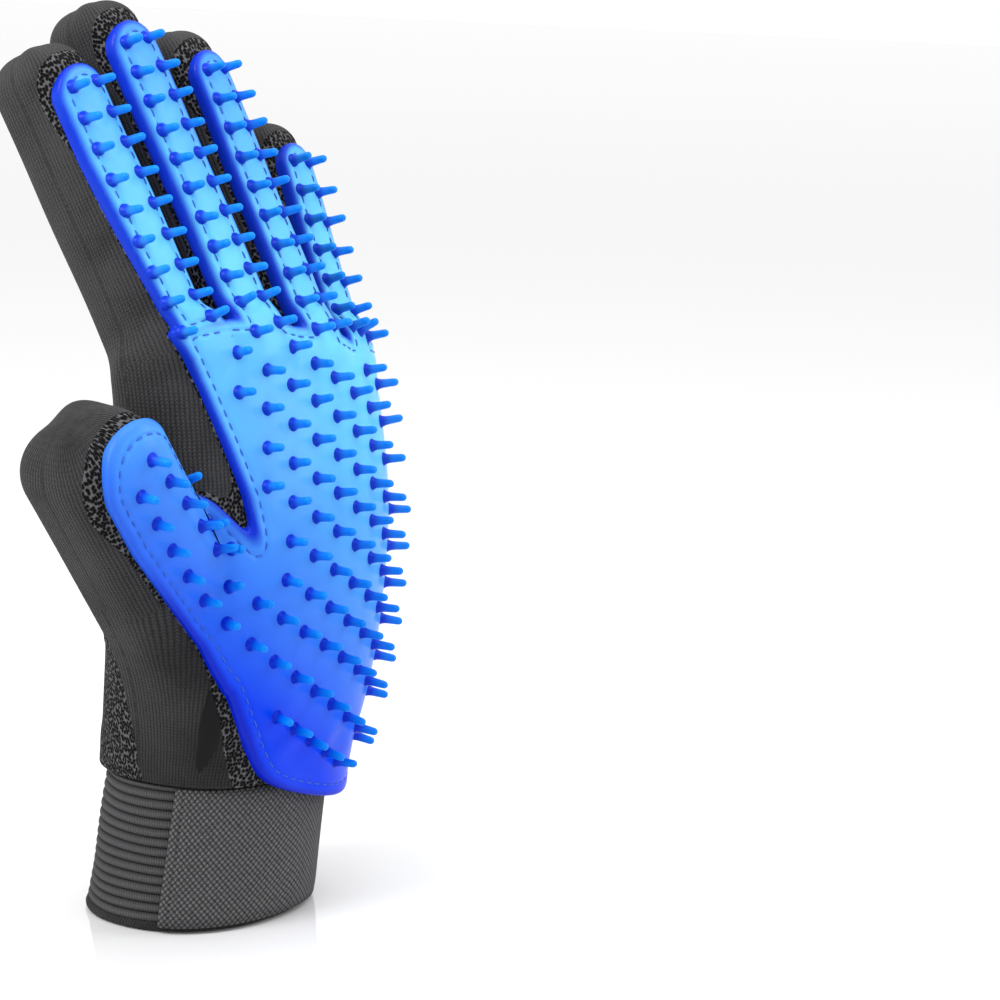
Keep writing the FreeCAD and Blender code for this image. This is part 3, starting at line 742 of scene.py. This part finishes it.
def palm_mesh_edge(q, region_name, field_name):
    """Negative on the palm mesh: under the moulding, and beside it at the tips and in the crotches."""
    x, y, z = q.T
    g = pad_outline(x, y, z, field_name)
    if region_name == "hand":
        show = np.interp(z, [58, 66, 72, 84, 98, 108, 118, 126], [1.0, 1.0, 0.2, 0.0, 0.0, 1.0, 1.0, 0.1])
        show = np.where(along(y, z) > 126, np.maximum(show, 1.0 * (x > -24)), show)
        return g - 0.3 - (MESH_EDGE - 0.3 + np.interp(z, [40, 50, 60], [2.5, 1.0, 0.0])) * show
    lx, ly, s = local(region_name, x, y, z)
    length = DIGITS[region_name].length
    round_side = np.maximum(0, ly + 0.6 * DIGITS[region_name].depth)
    if region_name == "thumb":
        show = np.interp(s, [length - 34, length - 20], [0.25, 1.0])
    else:
        crotch = np.interp(s, [14, 24], [1.0, 0.15])
        crotch = np.where((region_name == "index") & (lx < 0), 0.0, crotch)
        show = np.maximum(crotch, np.interp(s, [length - 30, length - 17], [0.0, 1.0]))
    return g + 0.9 * round_side - 0.2 - (MESH_EDGE + 1.2) * show


def cloth_piece(label, region_name, field_name, v, f, bodies, nodes):
    """Splits one run of cloth into palm mesh, gusset and back mesh, and fixes each to its body or bakes its
    placement.
    """
    fn = lambda x, y, z: skin(x, y, z, field_name, region_name == "hand")
    edge = lambda q: palm_mesh_edge(q, region_name, field_name)
    side = lambda q: back_side(q, region_name)
    v, palm, rest = split(v, f, fn, edge)
    v, back, gusset = split(v, rest, fn, side)
    for part, faces in (("palm_mesh", palm), ("gusset", gusset), ("back_mesh", back)):
        if not len(faces):
            continue
        pv, pf = compact(v, faces)
        u, w = cloth_coordinates(pv, region_name)
        obj = make(label + "_" + part + "_cloth", pv, pf, MAT["gusset" if part == "gusset" else "mesh"],
                   normals=unit_normals(fn, pv),
                   extra={"u": u, "v": w})
        attach(obj, bodies, *nodes.get(part, ()))


def attach(obj, bodies, *nodes):
    """Fixes a piece to one body, or for a pair of bodies only bakes its placement, and hides the CAD nodes it
    stands for.
    """
    if isinstance(bodies, str):
        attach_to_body(obj, bodies)
    else:
        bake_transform(obj)
    for key in nodes:
        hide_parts(key)


def zones(name):
    """Each joint zone of a digit: the bodies on either side and two points along the digit."""
    middle = DIGITS[name].middle
    if name == "thumb":
        return (("hand", "thumb_lower", world(name, 0, 0, THUMB_FREE), world(name, 0, 0, 49.0)),
                ("thumb_lower", "thumb_upper", world(name, 0, 0, 52.0), world(name, 0, 0, 70.0)))
    k = knuckle_point(name)
    reach = 14.0 if name == "little" else 18.0
    return (("hand", name + "_lower", k - 2 * ALONG, k + reach * ALONG),
            (name + "_lower", name + "_upper", world(name, 0, 0, middle - 10),
             world(name, 0, 0, middle + 12)))


def box_of(name):
    """Room of one digit's pieces in the glove's frame."""
    length, hw, hd = DIGITS[name][3:6]
    pts = [world(name, x, y, s) for x in (-hw - 5, hw + 5) for y in (-hd - 6, hd + 3)
           for s in (-14 if name != "thumb" else 14, length + 5)]
    return np.min(pts, 0), np.max(pts, 0)


def neighbours(name):
    i = FINGERS.index(name)
    return [FINGERS[k] for k in (i - 1, i + 1) if 0 <= k < 4]


def thumb_part(q):
    """Negative on the part of the surface that is the free thumb's."""
    x, y, z = q.T
    s = local("thumb", x, y, z)[2]
    return np.maximum(THUMB_FREE - s, digit("thumb", x, y, z) - hand(x, y, z) - 0.3)


def own_part(name):
    """Negative on the part of a finger's surface that is its own piece."""
    def region(q):
        x, y, z = q.T
        d = SPLIT - along(y, z)
        mine = digit(name, x, y, z)
        for n in neighbours(name):
            d = np.maximum(d, mine - digit(n, x, y, z))
        return d
    return region


def below_split(q):
    return along(q[:, 1], q[:, 2]) - SPLIT


def first_part(name):
    return lambda q: local(name, *q.T)[2] - DIGITS[name].cut


def painted_light_share(v):
    """Share of painted light on the moulding: 0 at the thumb and heel, rising up the hand and towards the
    little finger's side, less towards the finger ends; it paints the pale colour of the lit side.
    """
    x, _, z = np.asarray(v, float).T
    fingertip = np.clip((z - 170.0) / 70.0, 0, 1)
    return np.clip((0.5 * (x + 26) + 0.72 * (z - 66)) / 86.0, 0, 1) * (1 - 0.45 * fingertip)


RUBBER_RUNS = []                # (label, field name, vertices, faces) for the stitches


def rubber_piece(label, field_name, v, f, bodies, node_name):
    fn = lambda x, y, z: rubber(x, y, z, field_name)
    cloth = skin(*v.T, field_name)
    f = f[(cloth[f] > -0.5).any(1)]
    if not len(f):
        return
    pv, pf = compact(v, f)
    g = pad_outline(*pv.T, field_name)
    h = skin(*pv.T, field_name)
    # painted shade along the rim, where the moulding slopes down to the cloth, less on the far thumb side
    rim = np.maximum(np.clip(1 - (h - 0.2) / 1.9, 0, 1), np.clip(1.3 + g / 1.7, 0, 1))
    rim *= np.interp(pv[:, 0], [-60, -46], [0.3, 0.95])
    obj = make(label + "_moulding", pv, pf, MAT["pad"], normals=unit_normals(fn, pv),
               extra={"rim": rim, "tip": 0 * rim, "high": painted_light_share(pv)})
    RUBBER_RUNS.append((label, pv, pf, g, h, bodies))
    attach(obj, bodies, node_name)


HAND_LOW, HAND_HIGH = (-78.0, -48.0, CUFF_TOP - 2.0), (58.0, 32.0, 172.0)
PALM_LOW = (-78.0, -48.0, 26.0)


def hemmed_skin(x, y, z):
    return skin(x, y, z, "all", True)


# hand: everything below the knuckles, less the free thumb
for kind in ("cloth", "rubber"):
    fn = hemmed_skin if kind == "cloth" else rubber
    v, f = surface(fn, HAND_LOW if kind == "cloth" else PALM_LOW, HAND_HIGH)
    v, f, _ = split(v, f, fn, below_split)
    v, _, f = split(v, f, fn, thumb_part)
    if kind == "cloth":
        cx, cy = hand_row(np.full(1, CUFF_TOP))[:2]
        r = oval(v[:, 0] - cx[0], v[:, 1] - cy[0], 29.0, 25.0, CUFF_SQUARE)
        inside = (v[:, 2] < CUFF_TOP + 1.2) & (r < 0)
        f = f[~inside[f].all(1)]
        cloth_piece("hand", "hand", "all", v, f, "hand",
                    {"palm_mesh": ["palm_mesh_panel"], "back_mesh": ["back_mesh_panel"],
                     "gusset": ["radial_gusset", "ulnar_gusset", "thumb_root_gusset"]})
    else:
        rubber_piece("palm_pad", "all", v, f, "hand", "palm_pad")

for name in DIGITS:
    lower, upper = name + "_lower", name + "_upper"
    zone_a, zone_b = zones(name)
    low, high = box_of(name)
    for kind in ("cloth", "rubber"):
        base_fn = skin if kind == "cloth" else rubber
        fn = lambda x, y, z: base_fn(x, y, z, name)
        v, f = surface(fn, low, high)
        if name == "thumb":
            own = lambda q: THUMB_FREE - local("thumb", *q.T)[2]
        else:
            own = own_part(name)
        v, f, _ = split(v, f, fn, own)
        v, fa, fb = split(v, f, fn, first_part(name))
        if kind == "cloth":
            for label, faces, zone, gussets in ((lower, fa, zone_a, ("_gusset_radial", "_gusset_ulnar")),
                                                (upper, fb, zone_b, ("_gusset",))):
                cloth_piece(label, name, name, v, faces, zone,
                            {"palm_mesh": [label + "_palm_mesh"], "back_mesh": [label + "_back_mesh"],
                             "gusset": [label + g for g in gussets]})
        else:
            rubber_piece(lower + "_pad", name, v, fa, zone_a, lower + "_pad")
            rubber_piece(upper + "_pad", name, v, fb, zone_b, upper + "_pad")


# ---------------------------------------------------------------- soft tips
def nub_mesh(points, normals, height=NUB_HEIGHT):
    """Soft tips: flared foot, straight shank, rounded end, leaning very slightly."""
    rows = [(-0.9, 2.15), (0.0, 2.02), (0.35, 1.78), (0.8, 1.5), (1.5, 1.3), (2.4, 1.2), (4.3, 1.12),
            (height - 1.1, 1.08), (height - 0.5, 0.92), (height - 0.16, 0.58), (height, 0.2)]
    n = 14
    ring = np.linspace(0, 2 * math.pi, n, endpoint=False)
    verts, faces, tip = [], [], []
    for i, (p, q) in enumerate(zip(points, normals)):
        q = q / np.linalg.norm(q)
        side = np.cross(q, [0.0, 0.0, 1.0])
        side /= np.linalg.norm(side)
        up = np.cross(side, q)
        tilt = 0.05 * math.sin(2.1 * i) * side + 0.05 * math.cos(1.3 * i) * up
        base = len(verts)
        for h, r in rows:
            c = p + q * h + tilt * max(h, 0)
            for t in ring:
                verts.append(c + (side * math.cos(t) + up * math.sin(t)) * r)
                tip.append(min(1.0, max(0.0, (h - 1.2) / 3.4)))
        for k in range(len(rows) - 1):
            for j in range(n):
                a, b = base + k * n + j, base + k * n + (j + 1) % n
                faces.append((a, b, b + n, a + n))
        top = base + (len(rows) - 1) * n
        for j in range(0, n - 2, 2):
            faces.append((top, top + j + 1, top + j + 2, top + (j + 3) % n))
    return verts, faces, tip


def settle_on(p, name, level):
    """Moves points on to a level of the cloth function and returns them with their normals."""
    fn = lambda x, y, z: skin(x, y, z, name)
    p = np.array(p, float)
    for _ in range(5):
        g = gradient(fn, p, 0.6)
        val = fn(*p.T) - level
        p -= np.clip(val, -6, 6)[:, None] * g / np.maximum((g * g).sum(1), 0.3)[:, None]
    g = gradient(fn, p, 2.0)
    return p, g / np.linalg.norm(g, axis=1)[:, None]


def palm_spot(u, z):
    """Point on the palm, u round it from the middle and z up."""
    cx, cy, a, front = [float(r) for r in hand_row(z)][:4]
    w = np.linspace(-0.999, 0.999, 600)
    y = -front * (1 - np.abs(w) ** SQUARE_HAND) ** (1 / SQUARE_HAND)
    x = a * w
    run = np.concatenate([[0], np.cumsum(np.hypot(np.diff(x), np.diff(y)))])
    run -= np.interp(-cx, x, run)
    return np.array([cx + np.interp(u, run, x), cy + np.interp(u, run, y), z])


def spaced(points, pitch):
    """Points at equal spacing along a rounded line."""
    c = curve_through(points, closed=False, steps=20)
    run = np.concatenate([[0], np.cumsum(np.hypot(np.diff(c[:, 0]), np.diff(c[:, 1])))])
    t = np.arange(0, run[-1] + 0.01, pitch)
    return np.stack([np.interp(t, run, c[:, 0]), np.interp(t, run, c[:, 1])], 1)


def top_point(x, z):
    """First point of the moulding's top met from the palm side."""
    y = np.linspace(-60, 10, 500)
    f = skin(np.full_like(y, x), y, np.full_like(y, z)) - PAD
    hit = np.where(f < 0)[0]
    return np.array([x, y[hit[0]] if len(hit) else -20.0, z])


spots = []
for row, pitch in ((OUTER_ROW, OUTER_PITCH), (INNER_ROW, INNER_PITCH), (HEEL_ROW, HEEL_PITCH)):
    spots.extend(top_point(x, z) for x, z in spaced(row, pitch))
outer_line = curve_through(OUTER_ROW, closed=False)
NUB_TOP = 156.0                 # height of the field's first row
for i in range(-5, 8):
    for j in range(-1, 14):
        z = NUB_TOP - NUB_UP * j - (NUB_UP / 2 if i % 2 else 0.0)
        u = -1.0 + NUB_ROUND * i - 0.19 * (NUB_TOP - z)
        if z > 165 or z < 35:
            continue
        p = palm_spot(u, z)
        g = float(pad_outline(*[np.array([c]) for c in p])[0])
        gap = np.min(np.hypot(outer_line[:, 0] - p[0], outer_line[:, 1] - p[2]))
        above = p[2] > np.interp(p[0], outer_line[:, 0], outer_line[:, 1])
        if g > -5.2 or gap < 7.4 or not above or float(along(p[1], p[2])) > 133.0:
            continue
        spots.append(p)
palm_spots, palm_normals = settle_on(spots, "all", PAD - NUB_SINK)

groups = {}
for p, q in zip(palm_spots, palm_normals):
    s = float(local("thumb", *p)[2])
    free = s > THUMB_FREE and float(digit("thumb", *p) - hand(*p)) < 0
    key = "palm" if not free else ("thumb_lower" if s < DIGITS["thumb"].cut else "thumb_upper")
    groups.setdefault(key, []).append((p, q))
for name in FINGERS:
    d = DIGITS[name]
    top = d.length - d.bare - 6.0
    pitch = (top + 4.0) / (d.rows - 1)
    pts = []
    for k in range(d.rows):
        reach = d.strip_half * (0.52 if k else 0.46)
        for side in (-1, 1):
            pts.append(world(name, d.strip + side * reach, -d.depth - 1.0, top - k * pitch))
    pts, nrm = settle_on(pts, name, PAD - NUB_SINK)
    nrm = 0.6 * nrm + 0.4 * np.array([0.0, -1.0, 0.0])
    for p, q in zip(pts, nrm):
        s = float(local(name, *p)[2])
        key = "palm" if float(along(p[1], p[2])) < SPLIT else (name + ("_lower" if s < d.cut else "_upper"))
        groups.setdefault(key, []).append((p, q))

ZONE = {"palm": "hand"}
for name in DIGITS:
    za, zb = zones(name)
    ZONE[name + "_lower"], ZONE[name + "_upper"] = za, zb
for key, members in groups.items():
    verts, faces, tip = nub_mesh([m[0] for m in members], [m[1] for m in members])
    # painted shade at each soft tip's foot, through rim, and half the painted light of the moulding round it,
    # through high
    obj = make(key + "_tips", verts, np.array(faces), MAT["pad"],
               extra={"tip": [t * 0.9 for t in tip], "rim": [0.9 * max(0.0, 1 - 1.3 * t) for t in tip],
                      "high": 0.5 * painted_light_share(verts)})
    attach(obj, ZONE[key], *(["palm_tips"] if key == "palm" else []))


# ---------------------------------------------------------------- stitches
def level_lines(v, f, g, level):
    """Chains of points where g crosses a level on a quad mesh."""
    d = g - level
    edges = {}
    points = []
    links = {}
    side = d[f] > 0
    for quad in f[side.any(1) & ~side.all(1)]:
        found = []
        for a, b in zip(quad, np.roll(quad, -1)):
            if (d[a] > 0) != (d[b] > 0):
                key = (min(a, b), max(a, b))
                if key not in edges:
                    t = d[a] / (d[a] - d[b])
                    edges[key] = len(points)
                    points.append(v[a] + (v[b] - v[a]) * t)
                found.append(edges[key])
        for a, b in zip(found[::2], found[1::2]):
            links.setdefault(a, []).append(b)
            links.setdefault(b, []).append(a)
    chains, seen = [], set()
    for start in sorted(links, key=lambda k: len(links[k])):
        if start in seen:
            continue
        chain, here = [start], start
        seen.add(start)
        while True:
            ahead = [k for k in links[here] if k not in seen]
            if not ahead:
                break
            here = ahead[0]
            seen.add(here)
            chain.append(here)
        if len(chain) > 6:
            chains.append(np.array([points[k] for k in chain]))
    return chains


def stitch_mesh(chains, fn, length=2.7, gap=1.0, radius=0.19):
    verts, faces = [], []
    ring = np.linspace(0, 2 * math.pi, 6, endpoint=False)
    for c in chains:
        for _ in range(4):
            c[1:-1] = 0.25 * c[:-2] + 0.5 * c[1:-1] + 0.25 * c[2:]
        run = np.concatenate([[0], np.cumsum(np.linalg.norm(np.diff(c, axis=0), axis=1))])
        at = 0.6
        while at + length < run[-1]:
            t = np.linspace(at, at + length, 6)
            p = np.stack([np.interp(t, run, c[:, k]) for k in range(3)], 1)
            n = unit_normals(fn, p)
            lift = np.array([-0.3, 0.1, 0.2, 0.2, 0.1, -0.3])
            p = p + n * lift[:, None]
            d = p[-1] - p[0]
            d /= np.linalg.norm(d)
            base = len(verts)
            for k in range(6):
                side = np.cross(d, n[k])
                side /= max(np.linalg.norm(side), 1e-6)
                r = radius * (0.75 if k in (0, 5) else 1.0)
                for a in ring:
                    verts.append(p[k] + side * math.cos(a) * r + n[k] * math.sin(a) * r * 0.8)
            for k in range(5):
                for j in range(6):
                    a, b = base + k * 6 + j, base + k * 6 + (j + 1) % 6
                    faces.append((a, b, b + 6, a + 6))
            at += length + gap
    return verts, faces


for label, v, f, g, h, bodies in RUBBER_RUNS:
    top = f[(h[f] > 1.2).all(1)]
    field = "all" if label == "palm_pad" else label.split("_")[0]
    fn = lambda x, y, z: skin(x, y, z, field)
    verts, faces = stitch_mesh(level_lines(v, top, g, -STITCH_IN), fn)
    if verts:
        obj = make(label.replace("_pad", "") + "_stitching", verts, np.array(faces), MAT["thread"])
        attach(obj, bodies, *(["pad_stitching"] if label == "palm_pad" else []))

# ---------------------------------------------------------------- cuff
CUFF = [(0.0, -1.6, 1.9, 32.5, 27.5), (CUFF_TOP, 1.0, -1.5, 31.0, 26.5)]
SEAM, TAB_HINGE, STRAP_END = -68.0, -26.0, 80.0


def cuff_point(angle, out, z):
    """Point on the cuff; angle 0 is the palm side, positive to the little finger."""
    k = z / CUFF_TOP
    cx, cy, a, b = [CUFF[0][i] + (CUFF[1][i] - CUFF[0][i]) * k for i in range(1, 5)]
    t = math.radians(angle - 90.0)
    c, s = math.cos(t), math.sin(t)
    return np.array([cx + (a + out) * math.copysign(abs(c) ** (2 / CUFF_SQUARE), c),
                     cy + (b + out) * math.copysign(abs(s) ** (2 / CUFF_SQUARE), s), z])


def cuff_sheet(label, angles, profile, material, closed, thickness_of=None, h_of=None,
               ends=(True, True)):
    """Band round the cuff from a closed profile of (out, z) points."""
    verts, faces, u, v, h = [], [], [], [], []
    for i, a in enumerate(angles):
        for out, z in profile:
            extra = thickness_of(a, z, out) if thickness_of else 0.0
            verts.append(cuff_point(a, out + extra, z))
            u.append(math.radians(a) * 30.0)
            v.append(z)
            h.append(h_of(out, z) if h_of else 0.0)
    n, m = len(profile), len(angles)
    for i in range(m if closed else m - 1):
        for j in range(n):
            a, b = i * n + j, i * n + (j + 1) % n
            c, d = ((i + 1) % m) * n + (j + 1) % n, ((i + 1) % m) * n + j
            faces.append((a, d, c, b))
    if ends[0] and not closed:
        faces.append(tuple(range(n)))
    if ends[1] and not closed:
        faces.append(tuple(reversed(range((m - 1) * n, m * n))))
    return make(label, verts, faces, material, extra={"u": u, "v": v, "h": h})


RIB = 2.55
rib_profile = []
z = 2.2
while z < CUFF_TOP - 0.2:
    k = math.sin(math.pi * (z - 2.2) / RIB)
    rib_profile.append((-0.75 + 0.85 * abs(k) ** 0.7, z))
    z += RIB / 10
profile = rib_profile + [(-0.9, CUFF_TOP - 0.1), (-2.0, CUFF_TOP - 0.1)]
profile += [(-2.0, zz) for zz in np.arange(CUFF_TOP - 2, 2.2, -2.5)] + [(-2.0, 2.2)]
ripple = lambda a, z, out: 0.18 * math.sin(math.radians(a) * 7 + z * 0.2) if out > -1.5 else 0.0
angles = np.linspace(-180, 180, 260, endpoint=False)
# its h attribute is the crown share that paints shade into the valleys between the ribs
elastic = cuff_sheet("cuff_elastic_ribs", angles, profile, MAT["elastic"], True, ripple,
                     lambda out, z: min(1.0, max(0.0, (out + 0.75) / 0.85)))
attach(elastic, "hand", "cuff_elastic")

hem_profile = [(-2.2 + 2.7 * (0.5 + 0.5 * math.cos(t)), 1.25 + 1.25 * math.sin(t)) for t in
               np.linspace(-math.pi, math.pi, 16, endpoint=False)]
hem = cuff_sheet("cuff_hem_binding", angles, hem_profile, MAT["hem"], True)
attach(hem, "hand", "cuff_hem")


def flat_profile(low, high, inner, outer, rows=14):
    """Band section with rounded edges."""
    front = [(outer - 0.35 * abs(t) ** 8, low + (high - low) * (0.5 + 0.5 * t))
             for t in np.linspace(-1, 1, rows)]
    return front + [(inner, high), (inner, low)]


def strap_bulge(a, z, out):
    if out < 0.5:
        return 0.0
    near_seam = math.exp(-((a - SEAM) / 1.6) ** 2) + math.exp(-((a - STRAP_END) / 1.6) ** 2)
    stitch_line = math.exp(-((a - SEAM - 5.5) / 0.7) ** 2) + math.exp(-((a - STRAP_END + 5.5) / 0.7) ** 2)
    return -0.55 * near_seam - 0.35 * stitch_line + 0.15 * math.sin(math.radians(a) * 5 + z * 0.12)


strap_low, strap_high = 1.6, 39.2
band = flat_profile(strap_low, strap_high, 0.12, 2.1)
strap_angles = np.linspace(TAB_HINGE + 6, STRAP_END, 150)
strap = cuff_sheet("woven_strap_band", strap_angles, band, MAT["strap"], False, strap_bulge,
                   ends=(False, True))
attach(strap, "hand", "woven_strap")
tab_angles = np.linspace(SEAM, TAB_HINGE + 6, 110)
tab_band = flat_profile(strap_low, strap_high, 1.2, 2.1)
tab = cuff_sheet("closure_tab_band", tab_angles, tab_band, MAT["strap"], False, strap_bulge,
                 ends=(True, False))
TAB_ZONE = ("hand", "tab", cuff_point(TAB_HINGE + 5, 2, 20), cuff_point(TAB_HINGE - 9, 2, 20))
attach(tab, TAB_ZONE, "closure_tab")


BOX_FACES = [(0, 3, 2, 1), (4, 5, 6, 7), (0, 1, 5, 4), (1, 2, 6, 5), (2, 3, 7, 6), (3, 0, 4, 7)]


def pile(label, a0, a1, inner, outer, z0, z1, bodies, node_name):
    """Hook or loop tape with its field of small loops."""
    verts, faces = [], []
    for a in np.arange(a0, a1, 2.2):
        for zz in np.arange(z0, z1, 1.25):
            jitter = 0.35 * math.sin(12.9 * a + 78.2 * zz)
            p = [cuff_point(a + jitter + da, inner if k == 0 else outer - 0.1, zz + jitter + dz)
                 for k, (da, dz) in ((0, (0, 0)), (0, (1.5, 0)), (0, (1.5, .9)), (0, (0, .9)),
                                     (1, (0.4, .25)), (1, (1.1, .25)), (1, (1.1, .65)), (1, (0.4, .65)))]
            faces.extend(tuple(len(verts) + k for k in face) for face in BOX_FACES)
            verts.extend(p)
    obj = make(label, verts, faces, MAT["hook"], smooth=False)
    attach(obj, bodies, node_name)


pile("loop_tape", SEAM + 3, TAB_HINGE - 2, 0.05, 0.62, 3.4, 37.2, "hand", "loop_patch")
pile("hook_tape", SEAM + 3, TAB_HINGE - 5, 1.25, 0.72, 3.9, 36.2, TAB_ZONE, "hook_patch")

# near-black smooth leaf laid on the cloth beside the wrist: painted shade of a fold there
SHADE_LEAF_TOP, SHADE_LEAF_FOOT = np.array([-34.5, 69.0]), np.array([-30.0, 44.5])
SHADE_LEAF_ROWS = 26
across = np.linspace(-1, 1, 9)
rows_v, rows_f, uu, vv = [], [], [], []
for t in np.linspace(0.0, 1.0, SHADE_LEAF_ROWS):
    c = SHADE_LEAF_TOP + (SHADE_LEAF_FOOT - SHADE_LEAF_TOP) * t
    w = 0.15 + 2.6 * math.sin(math.pi * min(1.0, t)) ** 0.8
    for k in across:
        rows_v.append(top_point(c[0] + w * k, c[1]))
        uu.append(w * k)
        vv.append(c[1])
rows_v, n = settle_on(rows_v, "all", 0.12)
crown = 0.4 * (1 - across ** 2) - 0.5 * (np.abs(across) == 1)
rows_v = rows_v + n * np.tile(crown, SHADE_LEAF_ROWS)[:, None]
for i in range(SHADE_LEAF_ROWS - 1):
    for j in range(8):
        a = i * 9 + j
        rows_f.append((a, a + 9, a + 10, a + 1))
# this leaf is painted shade, a dark sheet where the cloth folds
dart = make("wrist_shade_leaf", rows_v, rows_f, MAT["dart"], extra={"u": uu, "v": vv})
attach(dart, "hand", "wrist_dart")

# ---------------------------------------------------------------- stage, light and camera
def stage_plane(name, size, place_at, material):
    """Square floor that isn't part of the glove."""
    mesh = bpy.data.meshes.new(name)
    h = size / 2
    mesh.from_pydata([(-h, -h, 0), (h, -h, 0), (h, h, 0), (-h, h, 0)], [], [(0, 1, 2, 3)])
    obj = bpy.data.objects.new(name, mesh)
    obj.location = place_at
    bpy.context.scene.collection.objects.link(obj)
    mesh.materials.append(material)
    obj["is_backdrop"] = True


floor_mat = shader("pale floor", (0.78, 0.78, 0.785), 0.06, Specular_IOR_Level=0.9)[0]
stage_plane("floor", 14.0, (0, 0, -0.0002), floor_mat)

studio = bpy.data.worlds.new("studio")
bpy.context.scene.world = studio
studio.use_nodes = True
background = studio.node_tree.nodes["Background"]
background.inputs[0].default_value = (1, 1, 1, 1)
background.inputs[1].default_value = 1.0


def softbox(name, az, el, distance, size, power):
    """Rectangular lamp at an azimuth and a height in degrees, turned to the glove."""
    light = bpy.data.lights.new(name, "AREA")
    light.shape = "RECTANGLE"
    light.size, light.size_y = size
    light.energy = power
    obj = bpy.data.objects.new(name, light)
    a, e = math.radians(az), math.radians(el)
    back = Vector((math.sin(a) * math.cos(e), -math.cos(a) * math.cos(e), math.sin(e)))
    obj.location = Vector((0, 0, 0.12)) + back * distance
    obj.rotation_euler = back.to_track_quat("Z", "Y").to_euler()
    bpy.context.scene.collection.objects.link(obj)


softbox("key", -105, 45, 1.1, (0.5, 0.6), 9)
softbox("rim", 40, 25, 1.0, (0.4, 0.9), 4)
softbox("top", -20, 80, 1.2, (0.8, 0.8), 6)

# the camera stands in front of the palm and towards the thumb, a little above the glove
VIEW_AZIMUTH, VIEW_HEIGHT, VIEW_ROLL = math.radians(56.1), math.radians(10.25), math.radians(1.5)
VIEW_DISTANCE = 830.0
VIEW_CENTRE = np.array([25.0, -77.5, 118.0])
aim = Vector((VIEW_CENTRE + SHIFT) / 1000.0)
forward = Vector((math.sin(VIEW_AZIMUTH) * math.cos(VIEW_HEIGHT),
                  math.cos(VIEW_AZIMUTH) * math.cos(VIEW_HEIGHT), -math.sin(VIEW_HEIGHT)))
eye = aim - forward * (VIEW_DISTANCE / 1000.0)
right = forward.cross(Vector((0, 0, 1))).normalized()
up = right.cross(forward)
right, up = (math.cos(VIEW_ROLL) * right + math.sin(VIEW_ROLL) * up,
             -math.sin(VIEW_ROLL) * right + math.cos(VIEW_ROLL) * up)
camera = bpy.data.objects.new("camera", bpy.data.cameras.new("camera"))
camera.matrix_world = Matrix.Translation(eye) @ Matrix((right, up, -forward)).transposed().to_4x4()
camera.data.lens = 113.4        # a long lens, so the glove shows little perspective
camera.data.sensor_width = 36.0
camera.data.clip_start, camera.data.clip_end = 0.02, 30.0
camera.data.dof.use_dof = False
bpy.context.scene.collection.objects.link(camera)
bpy.context.scene.camera = camera
bpy.context.scene.view_settings.view_transform = "Standard"

low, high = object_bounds()
